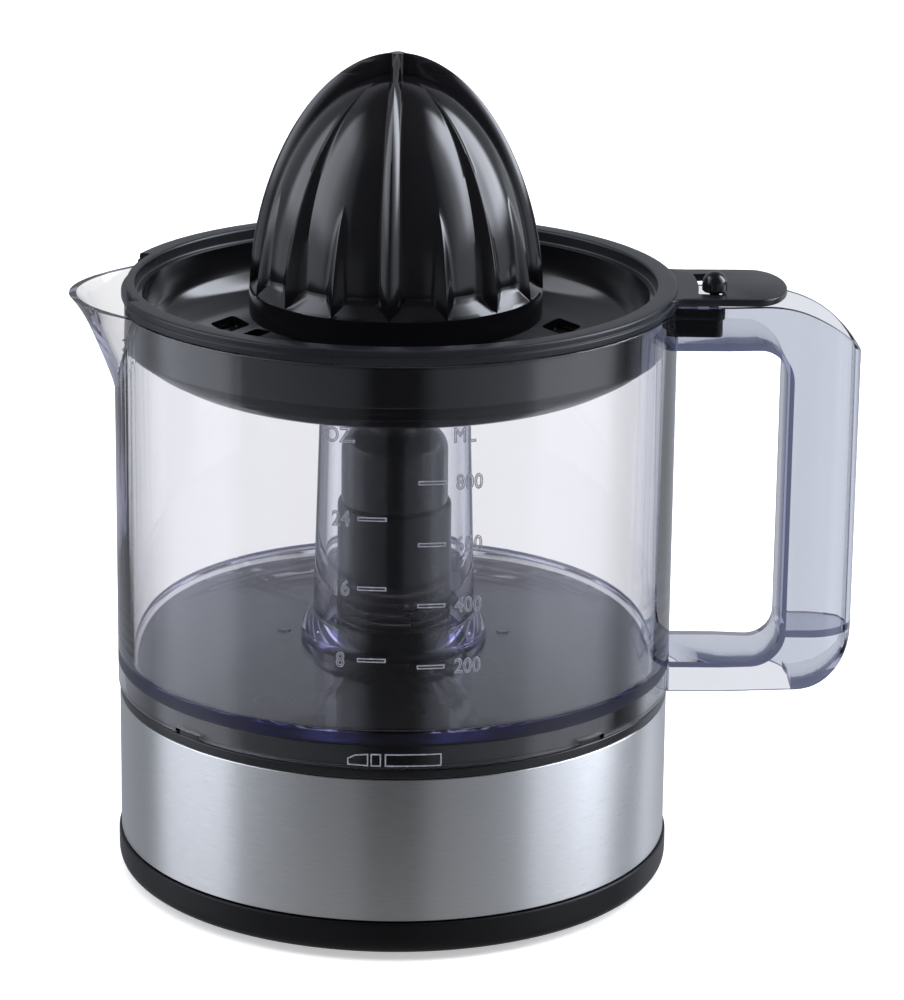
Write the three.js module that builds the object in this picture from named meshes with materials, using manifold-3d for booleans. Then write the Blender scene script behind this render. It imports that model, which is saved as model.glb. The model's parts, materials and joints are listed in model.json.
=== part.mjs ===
// Electric citrus press juicer: a motor base with a steel band, a clear jug with a spout and a hollow handle,
// a strainer over a pulp-control ring, and two nested reamer cones. Millimetres, +Z up, feet on z = 0.
// The jug, strainer and cones turn or lift about one vertical axis. The handle points along +X and the spout
// along -X.

import * as THREE from 'three';
import { mergeVertices } from 'three/addons/utils/BufferGeometryUtils.js';
import Module from 'manifold-3d';

const wasm = await Module();
wasm.setup();

// ---------------------------------------------------------------- driving dimensions

const GAP = 0.3; // air kept between pieces that touch on the real object
const ROUND = 48; // facets round a large wall
const FINE = 12; // facets round a small pin or boss
const AXIS_X = -16.9; // the vertical axis, seen from the middle of the whole object's width

const FOOT = { radius: 7, height: 2.9, ring: 55, firstAngle: 65 };
const COVER = { bottom: 1.8, rim: 10, radius: 68.2, edge: 3, floor: 2.4, wall: 1.8, wallTop: 14 };
const BAND = { bottom: 10.3, top: 45.9, radius: 67.6, thickness: 0.65 };
const HOUSING = {
  wallOuter: 66.6, wallInner: 64.4, ringTop: 48.4, deckTop: 53.8, deck: 2.4, plateau: 63.3, lugInner: 65.4,
};
const TOWER = {
  lowRadius: 14.2, lowTop: 91.7, capRadius: 13.3, capTop: 113, wall: 2, shoulder: 5, spigot: 6, bearing: 9,
};
const JUG = { radius: 68, wall: 2.2, skirt: 48.7, floorUnder: 54.3, floorTop: 57.5, top: 145.6 };
const TUBE = { low: 19.9, high: 18.2, top: 124, wall: 2, flare: 23.1, flareTop: 63 };
const SPOUT = { reach: 10.9, halfAngle: 24.5, bottom: 123, wall: 1.8 };
const HANDLE = {
  half: 10.3, rootHalf: 12, flareFrom: 80, flareTo: 97, end: 112.7, top: 145.3, bend: 29.4, drop: 12.9,
  under: 48.5,
  wall: 1.7, gripInner: 94.3, gapLow: 56, gapHigh: 134.8, gapCorner: 7, heel: 15, seam: 63.6,
};
const NOTCH = { bottom: 137, half: 10.2 };
const STRAINER = { top: 149.2, flange: 68.3, rim: 67.8, rimInner: 62.9, seat: 145.9, ledge: 146, shell: 2 };
const HUB = { bore: 9.6, outer: 13, top: 136, under: 126, spigotBottom: 118.4, ringFoot: 122 };
const TAB = { top: 148.4, thickness: 1.8, half: 15.2, straight: 86, end: 94.2, fillet: 7 };
const SLOTS = { count: 16, outer: [46.8, 52.3], inner: [39.8, 44.2], degrees: 12.5 };
const RING = { band: 65.5, bandInner: 63.9, top: 144.5, clearance: 0.5, shell: 1.9, inner: 37.9 };
const KNOB = { at: 76.6, angle: -6.1, stem: 1.15, radius: 3, top: 153.6 };
const CONE = {
  base: 140.6, shoulder: 147.5, radius: 35.4, apex: 204.4, lobeRadius: 32.2, lobeApex: 197.4, shell: 1.8,
  longRibTop: 196.5, shortRibTop: 178, ribFade: 14,
};
const SMALL_CONE = {
  radius: 26.2, lobeRadius: 23.8, apex: 193.5, lobeApex: 189.5, longRibTop: 186,
  flange: 32.4, flangeTop: 142.4,
};
const STEM = { radius: 8, bottom: 118, socketTop: 133, socket: 7 };
const SHAFT = {
  radius: 4.5, square: 6.3, bottom: 20, roundFrom: 46, top: 132.4, collar: 6, collarBottom: 115.9,
};
const GEAR = { module: 1, pressure: 20, pinion: 12, wheel: 38, output: 44, addendum: 0.85, dedendum: 1.2 };
const PLATE = { bottom: 27.5, top: 29.5, radius: 50 };
const WHEEL = { bottom: 32, top: 36 };
const OUTPUT = { bottom: 37.2, top: 41.8 };
const MOTOR = {
  bottom: 9, top: 23, half: 18, bore: 9.6, rotor: 9.1, poles: 13, window: 7, limb: 6, shaft: 2,
};
const SWITCH = { bottom: 4.5, top: 16.5, plunger: 1.5, plungerBottom: 12, wellBottom: 8.6 };
const SPRING = { coil: 6.5, wire: 0.6, turns: 5, bottom: 43.2, top: 63.1 };
const SPRING_COLLAR = { radius: 7.6, bottom: 64, top: 66 };
const COVER_SCREWS = {
  ring: 56, angles: [20, 110, 200, 290], head: 3.1, shank: 1.5, headBottom: 4, seat: 6.3, tip: 22,
};
const PLATE_SCREWS = { ring: 46, angles: [-30, 210, 270], head: 2.9, shank: 1.3, headHeight: 1.9, tip: 37 };
const LUGS = { angles: [-136, -46, 44, 134], half: 3, play: 0.5, height: 2.2 };
const INLET = { height: 6, wallAt: 66, bore: 2.6, neck: 3.1, flange: 3.7 };

// ---------------------------------------------------------------- solids and shapes

const radians = THREE.MathUtils.degToRad;
const onCircle = (radius, degrees) => [
  radius * Math.cos(radians(degrees)), radius * Math.sin(radians(degrees)),
];

// Turns a closed geometry into a manifold solid, facing outwards.
function toSolid(geometry) {
  const bare = geometry.clone();
  bare.deleteAttribute('normal');
  bare.deleteAttribute('uv');
  const merged = mergeVertices(bare, 1e-4);
  const at = merged.attributes.position.array;
  const all = merged.index.array;
  const triangles = [];
  let volume = 0;
  for (let i = 0; i < all.length; i += 3) {
    const [a, b, c] = [all[i], all[i + 1], all[i + 2]];
    if (a === b || b === c || c === a) continue;
    triangles.push(a, b, c);
    const [p, q, r] = [a, b, c].map((k) => new THREE.Vector3().fromArray(at, 3 * k));
    volume += p.dot(q.cross(r));
  }
  if (volume < 0) triangles.reverse();
  const mesh = new wasm.Mesh({
    numProp: 3, vertProperties: new Float32Array(at), triVerts: new Uint32Array(triangles),
  });
  return new wasm.Manifold(mesh);
}

function toGeometry(solid) {
  const mesh = solid.getMesh();
  const geometry = new THREE.BufferGeometry();
  geometry.setAttribute('position', new THREE.BufferAttribute(mesh.vertProperties, 3));
  geometry.setIndex(new THREE.BufferAttribute(mesh.triVerts, 1));
  geometry.computeVertexNormals();
  return geometry;
}

// A profile of [radius, z] points turned about the z axis.
function turned(profile, facets = ROUND) {
  const points = profile.map(([radius, z]) => new THREE.Vector2(radius, z));
  const last = profile.at(-1);
  if (profile[0][0] > 0 || last[0] > 0) points.push(points[0].clone());
  const geometry = new THREE.LatheGeometry(points, facets);
  geometry.rotateX(Math.PI / 2);
  return toSolid(geometry);
}

const drum = (radius, low, high, facets = ROUND) =>
  turned([[0, low], [radius, low], [radius, high], [0, high]], facets);

const ring = (inner, outer, low, high, facets = ROUND) =>
  turned([[inner, low], [outer, low], [outer, high], [inner, high]], facets);

const pin = (radius, low, high, x = 0, y = 0, facets = FINE) =>
  drum(radius, low, high, facets).translate([x, y, 0]);

function block([x0, x1], [y0, y1], [z0, z1]) {
  const geometry = new THREE.BoxGeometry(x1 - x0, y1 - y0, z1 - z0);
  geometry.translate((x0 + x1) / 2, (y0 + y1) / 2, (z0 + z1) / 2);
  return toSolid(geometry);
}

// A flat shape in x and y, given height from low to high.
function raised(shape, low, high, curveSegments = 10) {
  const settings = { depth: high - low, bevelEnabled: false, curveSegments };
  const geometry = new THREE.ExtrudeGeometry(shape, settings);
  geometry.translate(0, 0, low);
  return toSolid(geometry);
}

// A shape drawn in x and z, given a width of 2 * half about y = 0.
function sideways(shape, half, curveSegments = 10) {
  const geometry = new THREE.ExtrudeGeometry(shape, { depth: 2 * half, bevelEnabled: false, curveSegments });
  geometry.translate(0, 0, -half);
  geometry.rotateX(Math.PI / 2);
  return toSolid(geometry);
}

// A piece of a ring between two angles in degrees.
function sector([inner, outer], [from, to], [low, high]) {
  const shape = new THREE.Shape();
  shape.absarc(0, 0, outer, radians(from), radians(to), false);
  shape.absarc(0, 0, inner, radians(to), radians(from), true);
  return raised(shape, low, high, 3);
}

// Closed rings of points, all the same length, stitched into one skin. A ring shrunk to a point is an end.
function stitched(rings) {
  const columns = rings[0].length;
  const positions = rings.flat(2);
  const index = [];
  for (let row = 0; row + 1 < rings.length; row += 1) {
    for (let column = 0; column < columns; column += 1) {
      const next = (column + 1) % columns;
      const [a, b] = [row * columns + column, row * columns + next];
      index.push(a, b, b + columns, a, b + columns, a + columns);
    }
  }
  const geometry = new THREE.BufferGeometry();
  geometry.setAttribute('position', new THREE.Float32BufferAttribute(positions, 3));
  geometry.setIndex(index);
  return toSolid(geometry);
}

const together = (solids) => solids.reduce((sum, solid) => sum.add(solid));

// ---------------------------------------------------------------- materials

const paint = (color, roughness, metalness = 0, opacity = 1) =>
  new THREE.MeshStandardMaterial({ color, roughness, metalness, opacity, transparent: opacity < 1 });

const MATERIAL = {
  glossBlack: paint(0x0b0b0d, 0.12),
  satinBlack: paint(0x151517, 0.4),
  clear: paint(0xdfe2f2, 0.05, 0, 0.3),
  steelBand: paint(0xb9bcbf, 0.32, 1),
  steel: paint(0x9a9ca0, 0.3, 1),
  brass: paint(0xb08d4a, 0.35, 1),
  copper: paint(0x9c5a32, 0.45, 0.8),
  nylon: paint(0xe6e2d6, 0.5),
  rubber: paint(0x1a1a1a, 0.85),
  lamination: paint(0x6c6f74, 0.55, 0.9),
  red: paint(0x8c1f1b, 0.4),
};

// ---------------------------------------------------------------- base

const deckUnder = HOUSING.deckTop - HOUSING.deck;

// The four raised blocks on the trim ring that the jug's skirt locates on, or the wider slots for them.
function lugs(inner, outer, low, high, extra = 0) {
  const half = LUGS.half + extra;
  return together(LUGS.angles.map(
    (angle) => sector([inner, outer], [angle - half, angle + half], [low, high]),
  ));
}

const coverScrewPlaces = COVER_SCREWS.angles.map((angle) => onCircle(COVER_SCREWS.ring, angle));
const plateScrewPlaces = PLATE_SCREWS.angles.map((angle) => onCircle(PLATE_SCREWS.ring, angle));

function screwBosses() {
  const bosses = coverScrewPlaces.map((place) => pin(4.2, COVER.rim + GAP, deckUnder + 1, ...place));
  const pillars = plateScrewPlaces.map((place) => pin(4, PLATE.top + GAP, deckUnder + 1, ...place));
  return together([...bosses, ...pillars]);
}

function pilotHoles() {
  const play = 0.25;
  const hole = (radius, low, high) => (place) => pin(radius + play, low, high, ...place, 8);
  const covers = coverScrewPlaces.map(hole(COVER_SCREWS.shank, COVER.rim, COVER_SCREWS.tip + 4));
  const plates = plateScrewPlaces.map(hole(PLATE_SCREWS.shank, PLATE.top, PLATE_SCREWS.tip + 3));
  return together([...covers, ...plates]);
}

// One moulding: the wall behind the steel band, the trim ring, the raised deck and the lower tower.
function baseHousing() {
  const { wallOuter, wallInner, ringTop, deckTop, plateau } = HOUSING;
  const towerInner = TOWER.lowRadius - TOWER.wall;
  const shell = turned([
    [wallInner, COVER.rim + GAP], [wallOuter, COVER.rim + GAP], [wallOuter, BAND.top + GAP / 2],
    [BAND.radius, BAND.top + GAP / 2], [BAND.radius, ringTop], [plateau, ringTop], [plateau, deckTop - 0.6],
    [plateau - 0.6, deckTop], [TOWER.lowRadius + 1, deckTop], [TOWER.lowRadius, deckTop + 1],
    [TOWER.lowRadius, TOWER.lowTop - 0.6], [TOWER.lowRadius - 0.6, TOWER.lowTop], [towerInner, TOWER.lowTop],
    [towerInner, deckUnder], [plateau - HOUSING.deck, deckUnder], [plateau - HOUSING.deck, ringTop - 2],
    [wallInner, ringTop - 2],
  ]);
  const raisedLugs = lugs(HOUSING.lugInner, BAND.radius - 0.2, ringTop - 1, ringTop + LUGS.height);
  return together([shell, screwBosses(), raisedLugs]).subtract(pilotHoles());
}

// The upper tower: a cap pushed into the lower tower, with the shaft's upper bearing in its top.
function towerCap() {
  const { capRadius, capTop, lowTop, lowRadius, wall, shoulder } = TOWER;
  const spigot = lowRadius - wall - GAP;
  const spigotInner = spigot - 1.6;
  const bore = SHAFT.radius + 1.3;
  const dome = [0, 30, 60, 90].map((angle) => {
    const [across, up] = onCircle(shoulder, angle);
    return [capRadius - shoulder + across, capTop - shoulder + up];
  });
  return turned([
    [spigotInner, lowTop - TOWER.spigot], [spigot, lowTop - TOWER.spigot], [spigot, lowTop + GAP],
    [capRadius, lowTop + GAP], ...dome, [bore, capTop], [bore, capTop - TOWER.bearing],
    [spigotInner, capTop - TOWER.bearing],
  ], 36);
}

// Bore in which a faceted pin of that radius turns freely.
const runningBore = (radius, facets = FINE) => (radius + 0.1) / Math.cos(Math.PI / facets);

const upperBush = () => ring(
  runningBore(SHAFT.radius), SHAFT.radius + 1.1, TOWER.capTop - TOWER.bearing, TOWER.capTop - 2.4, FINE,
);

// The seal stays below the collar on the pressed shaft.
const shaftSeal = () => ring(
  runningBore(SHAFT.radius), SHAFT.radius + 1.1, TOWER.capTop - 2.1, TOWER.capTop - 0.2, FINE,
);

const steelBand = () => ring(BAND.radius - BAND.thickness, BAND.radius, BAND.bottom, BAND.top);

// The underside: a shallow tray with a lip as wide as the band, a wall inside, and seats for screws and feet.
function baseCover() {
  const { bottom, rim, radius, edge, floor, wall, wallTop } = COVER;
  const outside = HOUSING.wallInner - GAP;
  const heel = [0, 45, 90].map((angle) => {
    const [across, up] = onCircle(edge, angle - 90);
    return [radius - edge + across, bottom + edge + up];
  });
  const tray = turned([
    [0, bottom], ...heel, [radius, rim], [outside, rim], [outside, wallTop], [outside - wall, wallTop],
    [outside - wall, bottom + floor], [0, bottom + floor],
  ]);
  const { head, shank, seat } = COVER_SCREWS;
  const bosses = coverScrewPlaces.map((place) => pin(head + 1.9, bottom + 1, rim, ...place));
  const counterbores = coverScrewPlaces.flatMap((place) => [
    pin(head + GAP, 0, seat + GAP, ...place), pin(shank + 0.4, seat, rim + 1, ...place, 16),
  ]);
  const footSeats = footPlaces.map((place) => pin(FOOT.radius + 0.2, 0, FOOT.height + GAP, ...place));
  const inletHole = placeInlet(pin(INLET.neck + 0.2, -6, 6).add(pin(INLET.flange + 0.2, 0.9, 6)));
  return together([tray, ...bosses]).subtract(together([...counterbores, ...footSeats, inletHole]));
}

const footPlaces = [0, 90, 180, 270].map((turn) => onCircle(FOOT.ring, FOOT.firstAngle + turn));

const foot = ([x, y]) => turned([
  [0, 0], [FOOT.radius - 0.8, 0], [FOOT.radius, 0.8], [FOOT.radius, FOOT.height], [0, FOOT.height],
], FINE).translate([x, y, 0]);

// Pan-head screw standing head down, its head's underside at z = seat.
function screwUp(headRadius, shankRadius, headLow, seat, tip, x, y) {
  return turned([
    [0, headLow], [headRadius, headLow], [headRadius, seat],
    [shankRadius, seat], [shankRadius, tip - 1], [0, tip],
  ], FINE).translate([x, y, 0]);
}

const placeInlet = (solid) => solid.rotate([-90, 0, 0]).translate([0, INLET.wallAt, INLET.height]);

// The gland in the rear of the base that the mains lead passes through.
function inletBush() {
  const { bore, neck, flange } = INLET;
  const section = [[bore, -4.6], [neck, -4.6], [neck, 1.2], [flange, 1.2], [flange, 2.1], [bore, 2.1]];
  return placeInlet(turned(section, FINE));
}

// ---------------------------------------------------------------- motor, gears and shaft

const GEAR_BACKLASH = 0.13; // mm taken off every tooth's thickness

// The outline of a gear with involute flanks, its first tooth on +x.
function gearShape(teeth) {
  const { module, pressure, addendum, dedendum } = GEAR;
  const pitch = module * teeth / 2;
  const base = pitch * Math.cos(radians(pressure));
  const tip = pitch + module * addendum;
  const root = pitch - module * dedendum;
  const involute = (r) => (r <= base ? 0 : Math.tan(Math.acos(base / r)) - Math.acos(base / r));
  const halfAtPitch = Math.PI / (2 * teeth) - GEAR_BACKLASH / (2 * pitch);
  const halfAt = (r) => halfAtPitch + involute(pitch) - involute(r);
  const flank = [root, pitch, tip];
  const shape = new THREE.Shape();
  for (let tooth = 0; tooth < teeth; tooth += 1) {
    const middle = 2 * Math.PI * tooth / teeth;
    const rising = flank.map((r) => [r, middle - halfAt(r)]);
    const falling = flank.map((r) => [r, middle + halfAt(r)]).reverse();
    [...rising, ...falling].forEach(([r, angle], i) => {
      const point = [r * Math.cos(angle), r * Math.sin(angle)];
      if (tooth === 0 && i === 0) shape.moveTo(...point);
      else shape.lineTo(...point);
    });
  }
  return shape;
}

const pitchRadius = (teeth) => GEAR.module * teeth / 2;
const IDLER_AT = [0, pitchRadius(GEAR.output) + pitchRadius(GEAR.pinion)];
const MOTOR_BEARING = 200; // degrees, from the idler to the motor
const motorReach = pitchRadius(GEAR.wheel) + pitchRadius(GEAR.pinion);
const MOTOR_AT = [
  IDLER_AT[0] + motorReach * Math.cos(radians(MOTOR_BEARING)),
  IDLER_AT[1] + motorReach * Math.sin(radians(MOTOR_BEARING)),
];
const motorFacing = THREE.MathUtils.radToDeg(Math.atan2(MOTOR_AT[1], MOTOR_AT[0]));

// The turn that puts a space where a gear had a tooth, so that it meshes with its neighbour.
const halfTooth = (teeth) => 180 / teeth;

function outputGear() {
  const square = squareBar(SHAFT.square + 0.3, PLATE.top - 1, OUTPUT.top + 3);
  const teeth = raised(gearShape(GEAR.output), OUTPUT.bottom, OUTPUT.top, 4).rotate([0, 0, 90]);
  const lightening = ring(10.5, 18, OUTPUT.bottom + 2.4, OUTPUT.top + 1, 32);
  return teeth.subtract(lightening).add(pin(7.4, PLATE.top + GAP, OUTPUT.top + 0.5)).subtract(square);
}

function compoundGear() {
  const wheel = raised(gearShape(GEAR.wheel), WHEEL.bottom, WHEEL.top, 4).rotate([0, 0, MOTOR_BEARING]);
  const phase = -90 + halfTooth(GEAR.pinion);
  const pinion = raised(gearShape(GEAR.pinion), WHEEL.top - 0.5, OUTPUT.top + 0.4, 4).rotate([0, 0, phase]);
  const hub = pin(4.4, PLATE.top + GAP, WHEEL.bottom + 1);
  return together([wheel, pinion, hub]).subtract(pin(2.08, 20, 50)).translate([...IDLER_AT, 0]);
}

const idlerAxle = () => pin(2, PLATE.bottom, OUTPUT.top + 3, ...IDLER_AT);

function motorPinion() {
  const phase = MOTOR_BEARING + 180 + halfTooth(GEAR.pinion);
  const teeth = raised(gearShape(GEAR.pinion), WHEEL.bottom - 0.6, WHEEL.top + 0.6, 4).rotate([0, 0, phase]);
  return teeth.subtract(pin(MOTOR.shaft + 0.1, 20, 50)).translate([...MOTOR_AT, 0]);
}

const motorShaft = () => pin(MOTOR.shaft, 6.2, WHEEL.top + 0.4, ...MOTOR_AT);

const motorRotor = () =>
  ring(MOTOR.shaft + 0.1, MOTOR.rotor, MOTOR.bottom, MOTOR.top, 40).translate([...MOTOR_AT, 0]);

const placeMotorPiece = (solid) => solid.rotate([0, 0, motorFacing]).translate([...MOTOR_AT, 0]);

const MOTOR_SCREW = { across: 14.6, along: 2, shank: 1.4, head: 2.7, hole: 1.7 };

// Something at each of the two screws beside the rotor.
const atMotorScrews = (radius, low, high, facets = FINE) =>
  [-1, 1].map((side) => pin(radius, low, high, MOTOR_SCREW.along, side * MOTOR_SCREW.across, facets));

// Laminated C-frame: a bored block, a window, and an outer limb that carries the coil.
function motorCore() {
  const { bottom, top, half, bore, poles, window, limb } = MOTOR;
  const frame = block([-poles, poles + window + limb], [-half, half], [bottom, top]);
  const opening = block([poles, poles + window], [-11, 11], [bottom - 1, top + 1]);
  const rotorSpace = pin(bore, bottom - 1, top + 1, 0, 0, 40);
  const holes = atMotorScrews(MOTOR_SCREW.hole, bottom - 1, top + 1);
  return placeMotorPiece(frame.subtract(together([opening, rotorSpace, ...holes])));
}

function motorCoil() {
  const { bottom, top, poles, window, limb } = MOTOR;
  const near = poles + window;
  const outside = block([near - 4.2, near + limb + 3.4], [-10.4, 10.4], [bottom - 3.6, top + 3.6]);
  const limbHole = block([near - GAP, near + limb + GAP], [-12, 12], [bottom - GAP, top + GAP]);
  return placeMotorPiece(outside.subtract(limbHole));
}

function motorBracket() {
  const strap = block([-6, 8], [-17.5, 17.5], [4.9, 7.3]);
  const posts = atMotorScrews(3.4, 7, MOTOR.bottom - GAP, 20);
  const holes = atMotorScrews(MOTOR_SCREW.hole, 4, 10);
  const bearing = pin(MOTOR.shaft + 0.08, 5.7, 10);
  return placeMotorPiece(together([strap, ...posts]).subtract(together([...holes, bearing])));
}

function motorScrews() {
  const heads = atMotorScrews(MOTOR_SCREW.head, PLATE.top + GAP, PLATE.top + 1.8, 20);
  const shanks = atMotorScrews(MOTOR_SCREW.shank, 5.2, PLATE.top + 1);
  return heads.map((head, i) => placeMotorPiece(head.add(shanks[i])));
}

const motorBush = () =>
  ring(MOTOR.shaft + 0.08, 3.4, PLATE.bottom - 1, PLATE.top + 0.8, FINE).translate([...MOTOR_AT, 0]);

// The plate that the gears stand on and the motor hangs from.
function gearboxPlate() {
  const spacers = atMotorScrews(3.4, MOTOR.top + GAP, PLATE.bottom + 0.5, 20).map(placeMotorPiece);
  const [low, high] = [MOTOR.top, PLATE.top + 1];
  const motorHoles = atMotorScrews(MOTOR_SCREW.hole, low, high).map(placeMotorPiece);
  const pillarHoles = plateScrewPlaces.map((place) => pin(PLATE_SCREWS.shank + 0.4, low, high, ...place, 8));
  const bearings = [pin(3.7, low, high, ...MOTOR_AT), pin(6.1, low, high), pin(2.3, low, high, ...IDLER_AT)];
  return together([drum(PLATE.radius, PLATE.bottom, PLATE.top, 64), ...spacers])
    .subtract(together([...motorHoles, ...pillarHoles, ...bearings]));
}

// Flanged below the plate; its bore clears the corners of the square shaft.
function lowerBush() {
  const [bore, neck, flange] = [4.75, 5.8, 7.6];
  return turned([
    [bore, PLATE.bottom - 1], [flange, PLATE.bottom - 1], [flange, PLATE.bottom - GAP],
    [neck, PLATE.bottom - GAP],
    [neck, PLATE.top - 0.1], [bore, PLATE.top - 0.1],
  ], FINE);
}

const squareBar = (side, low, high) => block([-side / 2, side / 2], [-side / 2, side / 2], [low, high]);

// Steel spindle: square below for the gear, round in the tower, a collar the cone sits on, and a square tip.
function driveShaft() {
  const { radius, square, bottom, roundFrom, top, collar, collarBottom } = SHAFT;
  const round = pin(radius, roundFrom, collarBottom + 1);
  const seat = pin(collar, collarBottom, STEM.bottom - GAP);
  return together([
    squareBar(square, bottom, roundFrom + 1), round, seat, squareBar(square, STEM.bottom - 1, top),
  ]);
}

const springCollar = () =>
  ring(SHAFT.radius + 0.1, SPRING_COLLAR.radius, SPRING_COLLAR.bottom, SPRING_COLLAR.top, FINE);

// Keeps the shaft from rising out of the lower bush.
const shaftClip = () => pin(6.6, PLATE.bottom - 3.6, PLATE.bottom - 1.5)
  .subtract(squareBar(SHAFT.square + 0.2, SHAFT.bottom, PLATE.bottom));

// Coil spring between the output gear and the collar on the shaft.
function returnSpring() {
  const { coil, wire, turns, bottom, top } = SPRING;
  const steps = turns * 8;
  const points = [];
  for (let step = 0; step <= steps; step += 1) {
    const share = step / steps;
    points.push(new THREE.Vector3(...onCircle(coil, 360 * turns * share), bottom + (top - bottom) * share));
  }
  const section = new THREE.Shape().absarc(0, 0, wire, 0, 2 * Math.PI, false);
  const extrudePath = new THREE.CatmullRomCurve3(points);
  return toSolid(new THREE.ExtrudeGeometry(section, { steps, extrudePath, curveSegments: 3 }));
}

// The switch under the shaft, with a well that its plunger is pressed into.
const switchBody = () => block([-6, 6], [-16, 3.2], [SWITCH.bottom, SWITCH.top])
  .subtract(pin(SWITCH.plunger + 0.2, SWITCH.wellBottom, SWITCH.top + 1, 0, 0, 20));

const switchPlunger = () => pin(SWITCH.plunger, SWITCH.plungerBottom, SHAFT.bottom - GAP, 0, 0, 20);

// ---------------------------------------------------------------- jug

// The handle from the side: a level top lip that falls on an arc to the outer corner, and a round heel.
function handleOutline(from) {
  const { end, top, bend, drop, under, heel } = HANDLE;
  const level = end - bend * Math.sin(Math.acos((bend - drop) / bend));
  const shape = new THREE.Shape();
  shape.moveTo(from, under);
  shape.lineTo(end - heel, under);
  shape.absarc(end - heel, under + heel, heel, -Math.PI / 2, 0, false);
  shape.lineTo(end, top - drop);
  shape.absarc(level, top - bend, bend, Math.atan2(bend - drop, end - level), Math.PI / 2, false);
  shape.lineTo(from, top);
  shape.closePath();
  return shape;
}

// The handle in plan: a wider root at the jug, straight sides along the grip and a round outer face.
function handlePlan(inset, from) {
  const { rootHalf, flareFrom, flareTo } = HANDLE;
  const half = HANDLE.half - inset;
  const root = rootHalf - inset;
  const end = HANDLE.end - inset;
  const round = half * 1.15;
  const shape = new THREE.Shape();
  shape.moveTo(from, -root);
  shape.lineTo(flareFrom, -root);
  shape.lineTo(flareTo, -half);
  shape.lineTo(end - round, -half);
  shape.absellipse(end - round, 0, round, half, -Math.PI / 2, Math.PI / 2, false);
  shape.lineTo(flareTo, half);
  shape.lineTo(flareFrom, root);
  shape.lineTo(from, root);
  shape.closePath();
  return shape;
}

function fingerGap(grow) {
  const { gripInner, gapLow, gapHigh, gapCorner } = HANDLE;
  const corner = gapCorner - grow;
  const [right, low, high] = [gripInner + grow, gapLow - grow, gapHigh + grow];
  const shape = new THREE.Shape();
  shape.moveTo(40, low);
  shape.lineTo(right - corner, low);
  shape.absarc(right - corner, low + corner, corner, -Math.PI / 2, 0, false);
  shape.lineTo(right, high - corner);
  shape.absarc(right - corner, high - corner, corner, 0, Math.PI / 2, false);
  shape.lineTo(40, high);
  shape.closePath();
  return shape;
}

function handleSolid() {
  const side = sideways(handleOutline(60), HANDLE.rootHalf + 1, 8);
  const plan = raised(handlePlan(0, 60), 40, 150, 7);
  return side.intersect(plan).subtract(sideways(fingerGap(0), 20, 5));
}

// The hollow in the top arm and grip, open upwards, and the hollow in the bottom arm, open downwards.
function handleHollow() {
  const { half, wall, gripInner, gapHigh, seam } = HANDLE;
  const plan = raised(handlePlan(wall, JUG.radius - 0.4), 40, 160, 6);
  const upper = block([0, 130], [-20, 20], [seam, 160]).subtract(sideways(fingerGap(wall), 30, 4));
  const lowerTop = HANDLE.gapLow - wall;
  const lower = block([JUG.radius - 0.4, gripInner + 4], [-half + wall, half - wall], [40, lowerTop]);
  return plan.intersect(upper).subtract(block([0, gripInner], [-20, 20], [0, gapHigh + wall])).add(lower);
}

// The spout's outline in plan: the wall circle pushed out by a smooth bump.
function spoutRing(z, reach, half, inset) {
  const points = [];
  const steps = 10;
  for (let i = 0; i <= steps; i += 1) {
    const share = 2 * i / steps - 1;
    const radius = JUG.radius - inset + reach * (1 - share * share);
    points.push([...onCircle(radius, 180 + half * share), z]);
  }
  points.push([-50, 0, z]);
  return points;
}

function spoutSolid(inset, above) {
  const { reach, halfAngle, bottom } = SPOUT;
  const rings = [0, 0.45, 0.8, 1].map((share) => {
    const z = bottom + inset + (JUG.top - bottom - inset) * share;
    const flare = 0.82 * share + 0.18 * share ** 6;
    return spoutRing(z, reach * flare, halfAngle * (0.25 + 0.75 * share ** 0.8), inset);
  });
  if (above) rings.push(rings.at(-1).map(([x, y, z]) => [x, y, z + above]));
  const closed = (ringOfPoints) => ringOfPoints.map(([, , z]) => [-60, 0, z]);
  return stitched([closed(rings[0]), ...rings, closed(rings.at(-1))]);
}

function tubeSolid(grow, low, high) {
  const { low: wide, high: narrow, flare, flareTop, top } = TUBE;
  const profile = grow < 0
    ? [[0, low], [wide + grow, low], [narrow + grow, high], [0, high]]
    : [[0, low], [flare, low], [flare, flareTop - 3.4], [flare - 1, flareTop - 1], [wide, flareTop],
      [narrow, top - 1], [narrow - 0.6, top], [0, top]];
  return turned(profile, 32);
}

function jugBody() {
  const { radius, wall, skirt, floorUnder, floorTop, top } = JUG;
  const outside = together([drum(radius, skirt, top), spoutSolid(0, 0), handleSolid()]);
  const inside = drum(radius - wall, floorTop, top + 10).add(spoutSolid(SPOUT.wall, 10));
  const hollows = together([inside, drum(radius - wall, skirt - 5, floorUnder), handleHollow()]);
  const notch = block([55, radius + 2], [-NOTCH.half, NOTCH.half], [NOTCH.bottom, top + 5]);
  const lugSlots = lugs(64, 70, skirt - 5, HOUSING.ringTop + 2.6, 0.5);
  const tubed = outside.subtract(hollows).add(tubeSolid(0, floorUnder, TUBE.top));
  return tubed.subtract(together([notch, lugSlots, tubeSolid(-TUBE.wall, 40, TUBE.top + 2)]));
}

// ---------------------------------------------------------------- strainer and pulp ring

// The bowl's upper face, from the ledge under the rim to the flat floor at the hub.
const BOWL = [[61.2, 138.5], [59.5, 135], [53.9, 131.5], [46, 129.2], [22, 128]];

// The bowl's points moved square to its surface by a distance, downwards.
function bowlBelow(distance, profile = BOWL) {
  return profile.map(([r, z], i) => {
    const [r0, z0] = profile[Math.max(i - 1, 0)];
    const [r1, z1] = profile[Math.min(i + 1, profile.length - 1)];
    const length = Math.hypot(r1 - r0, z1 - z0);
    return [r - distance * (z1 - z0) / length, z + distance * (r1 - r0) / length];
  });
}

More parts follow.
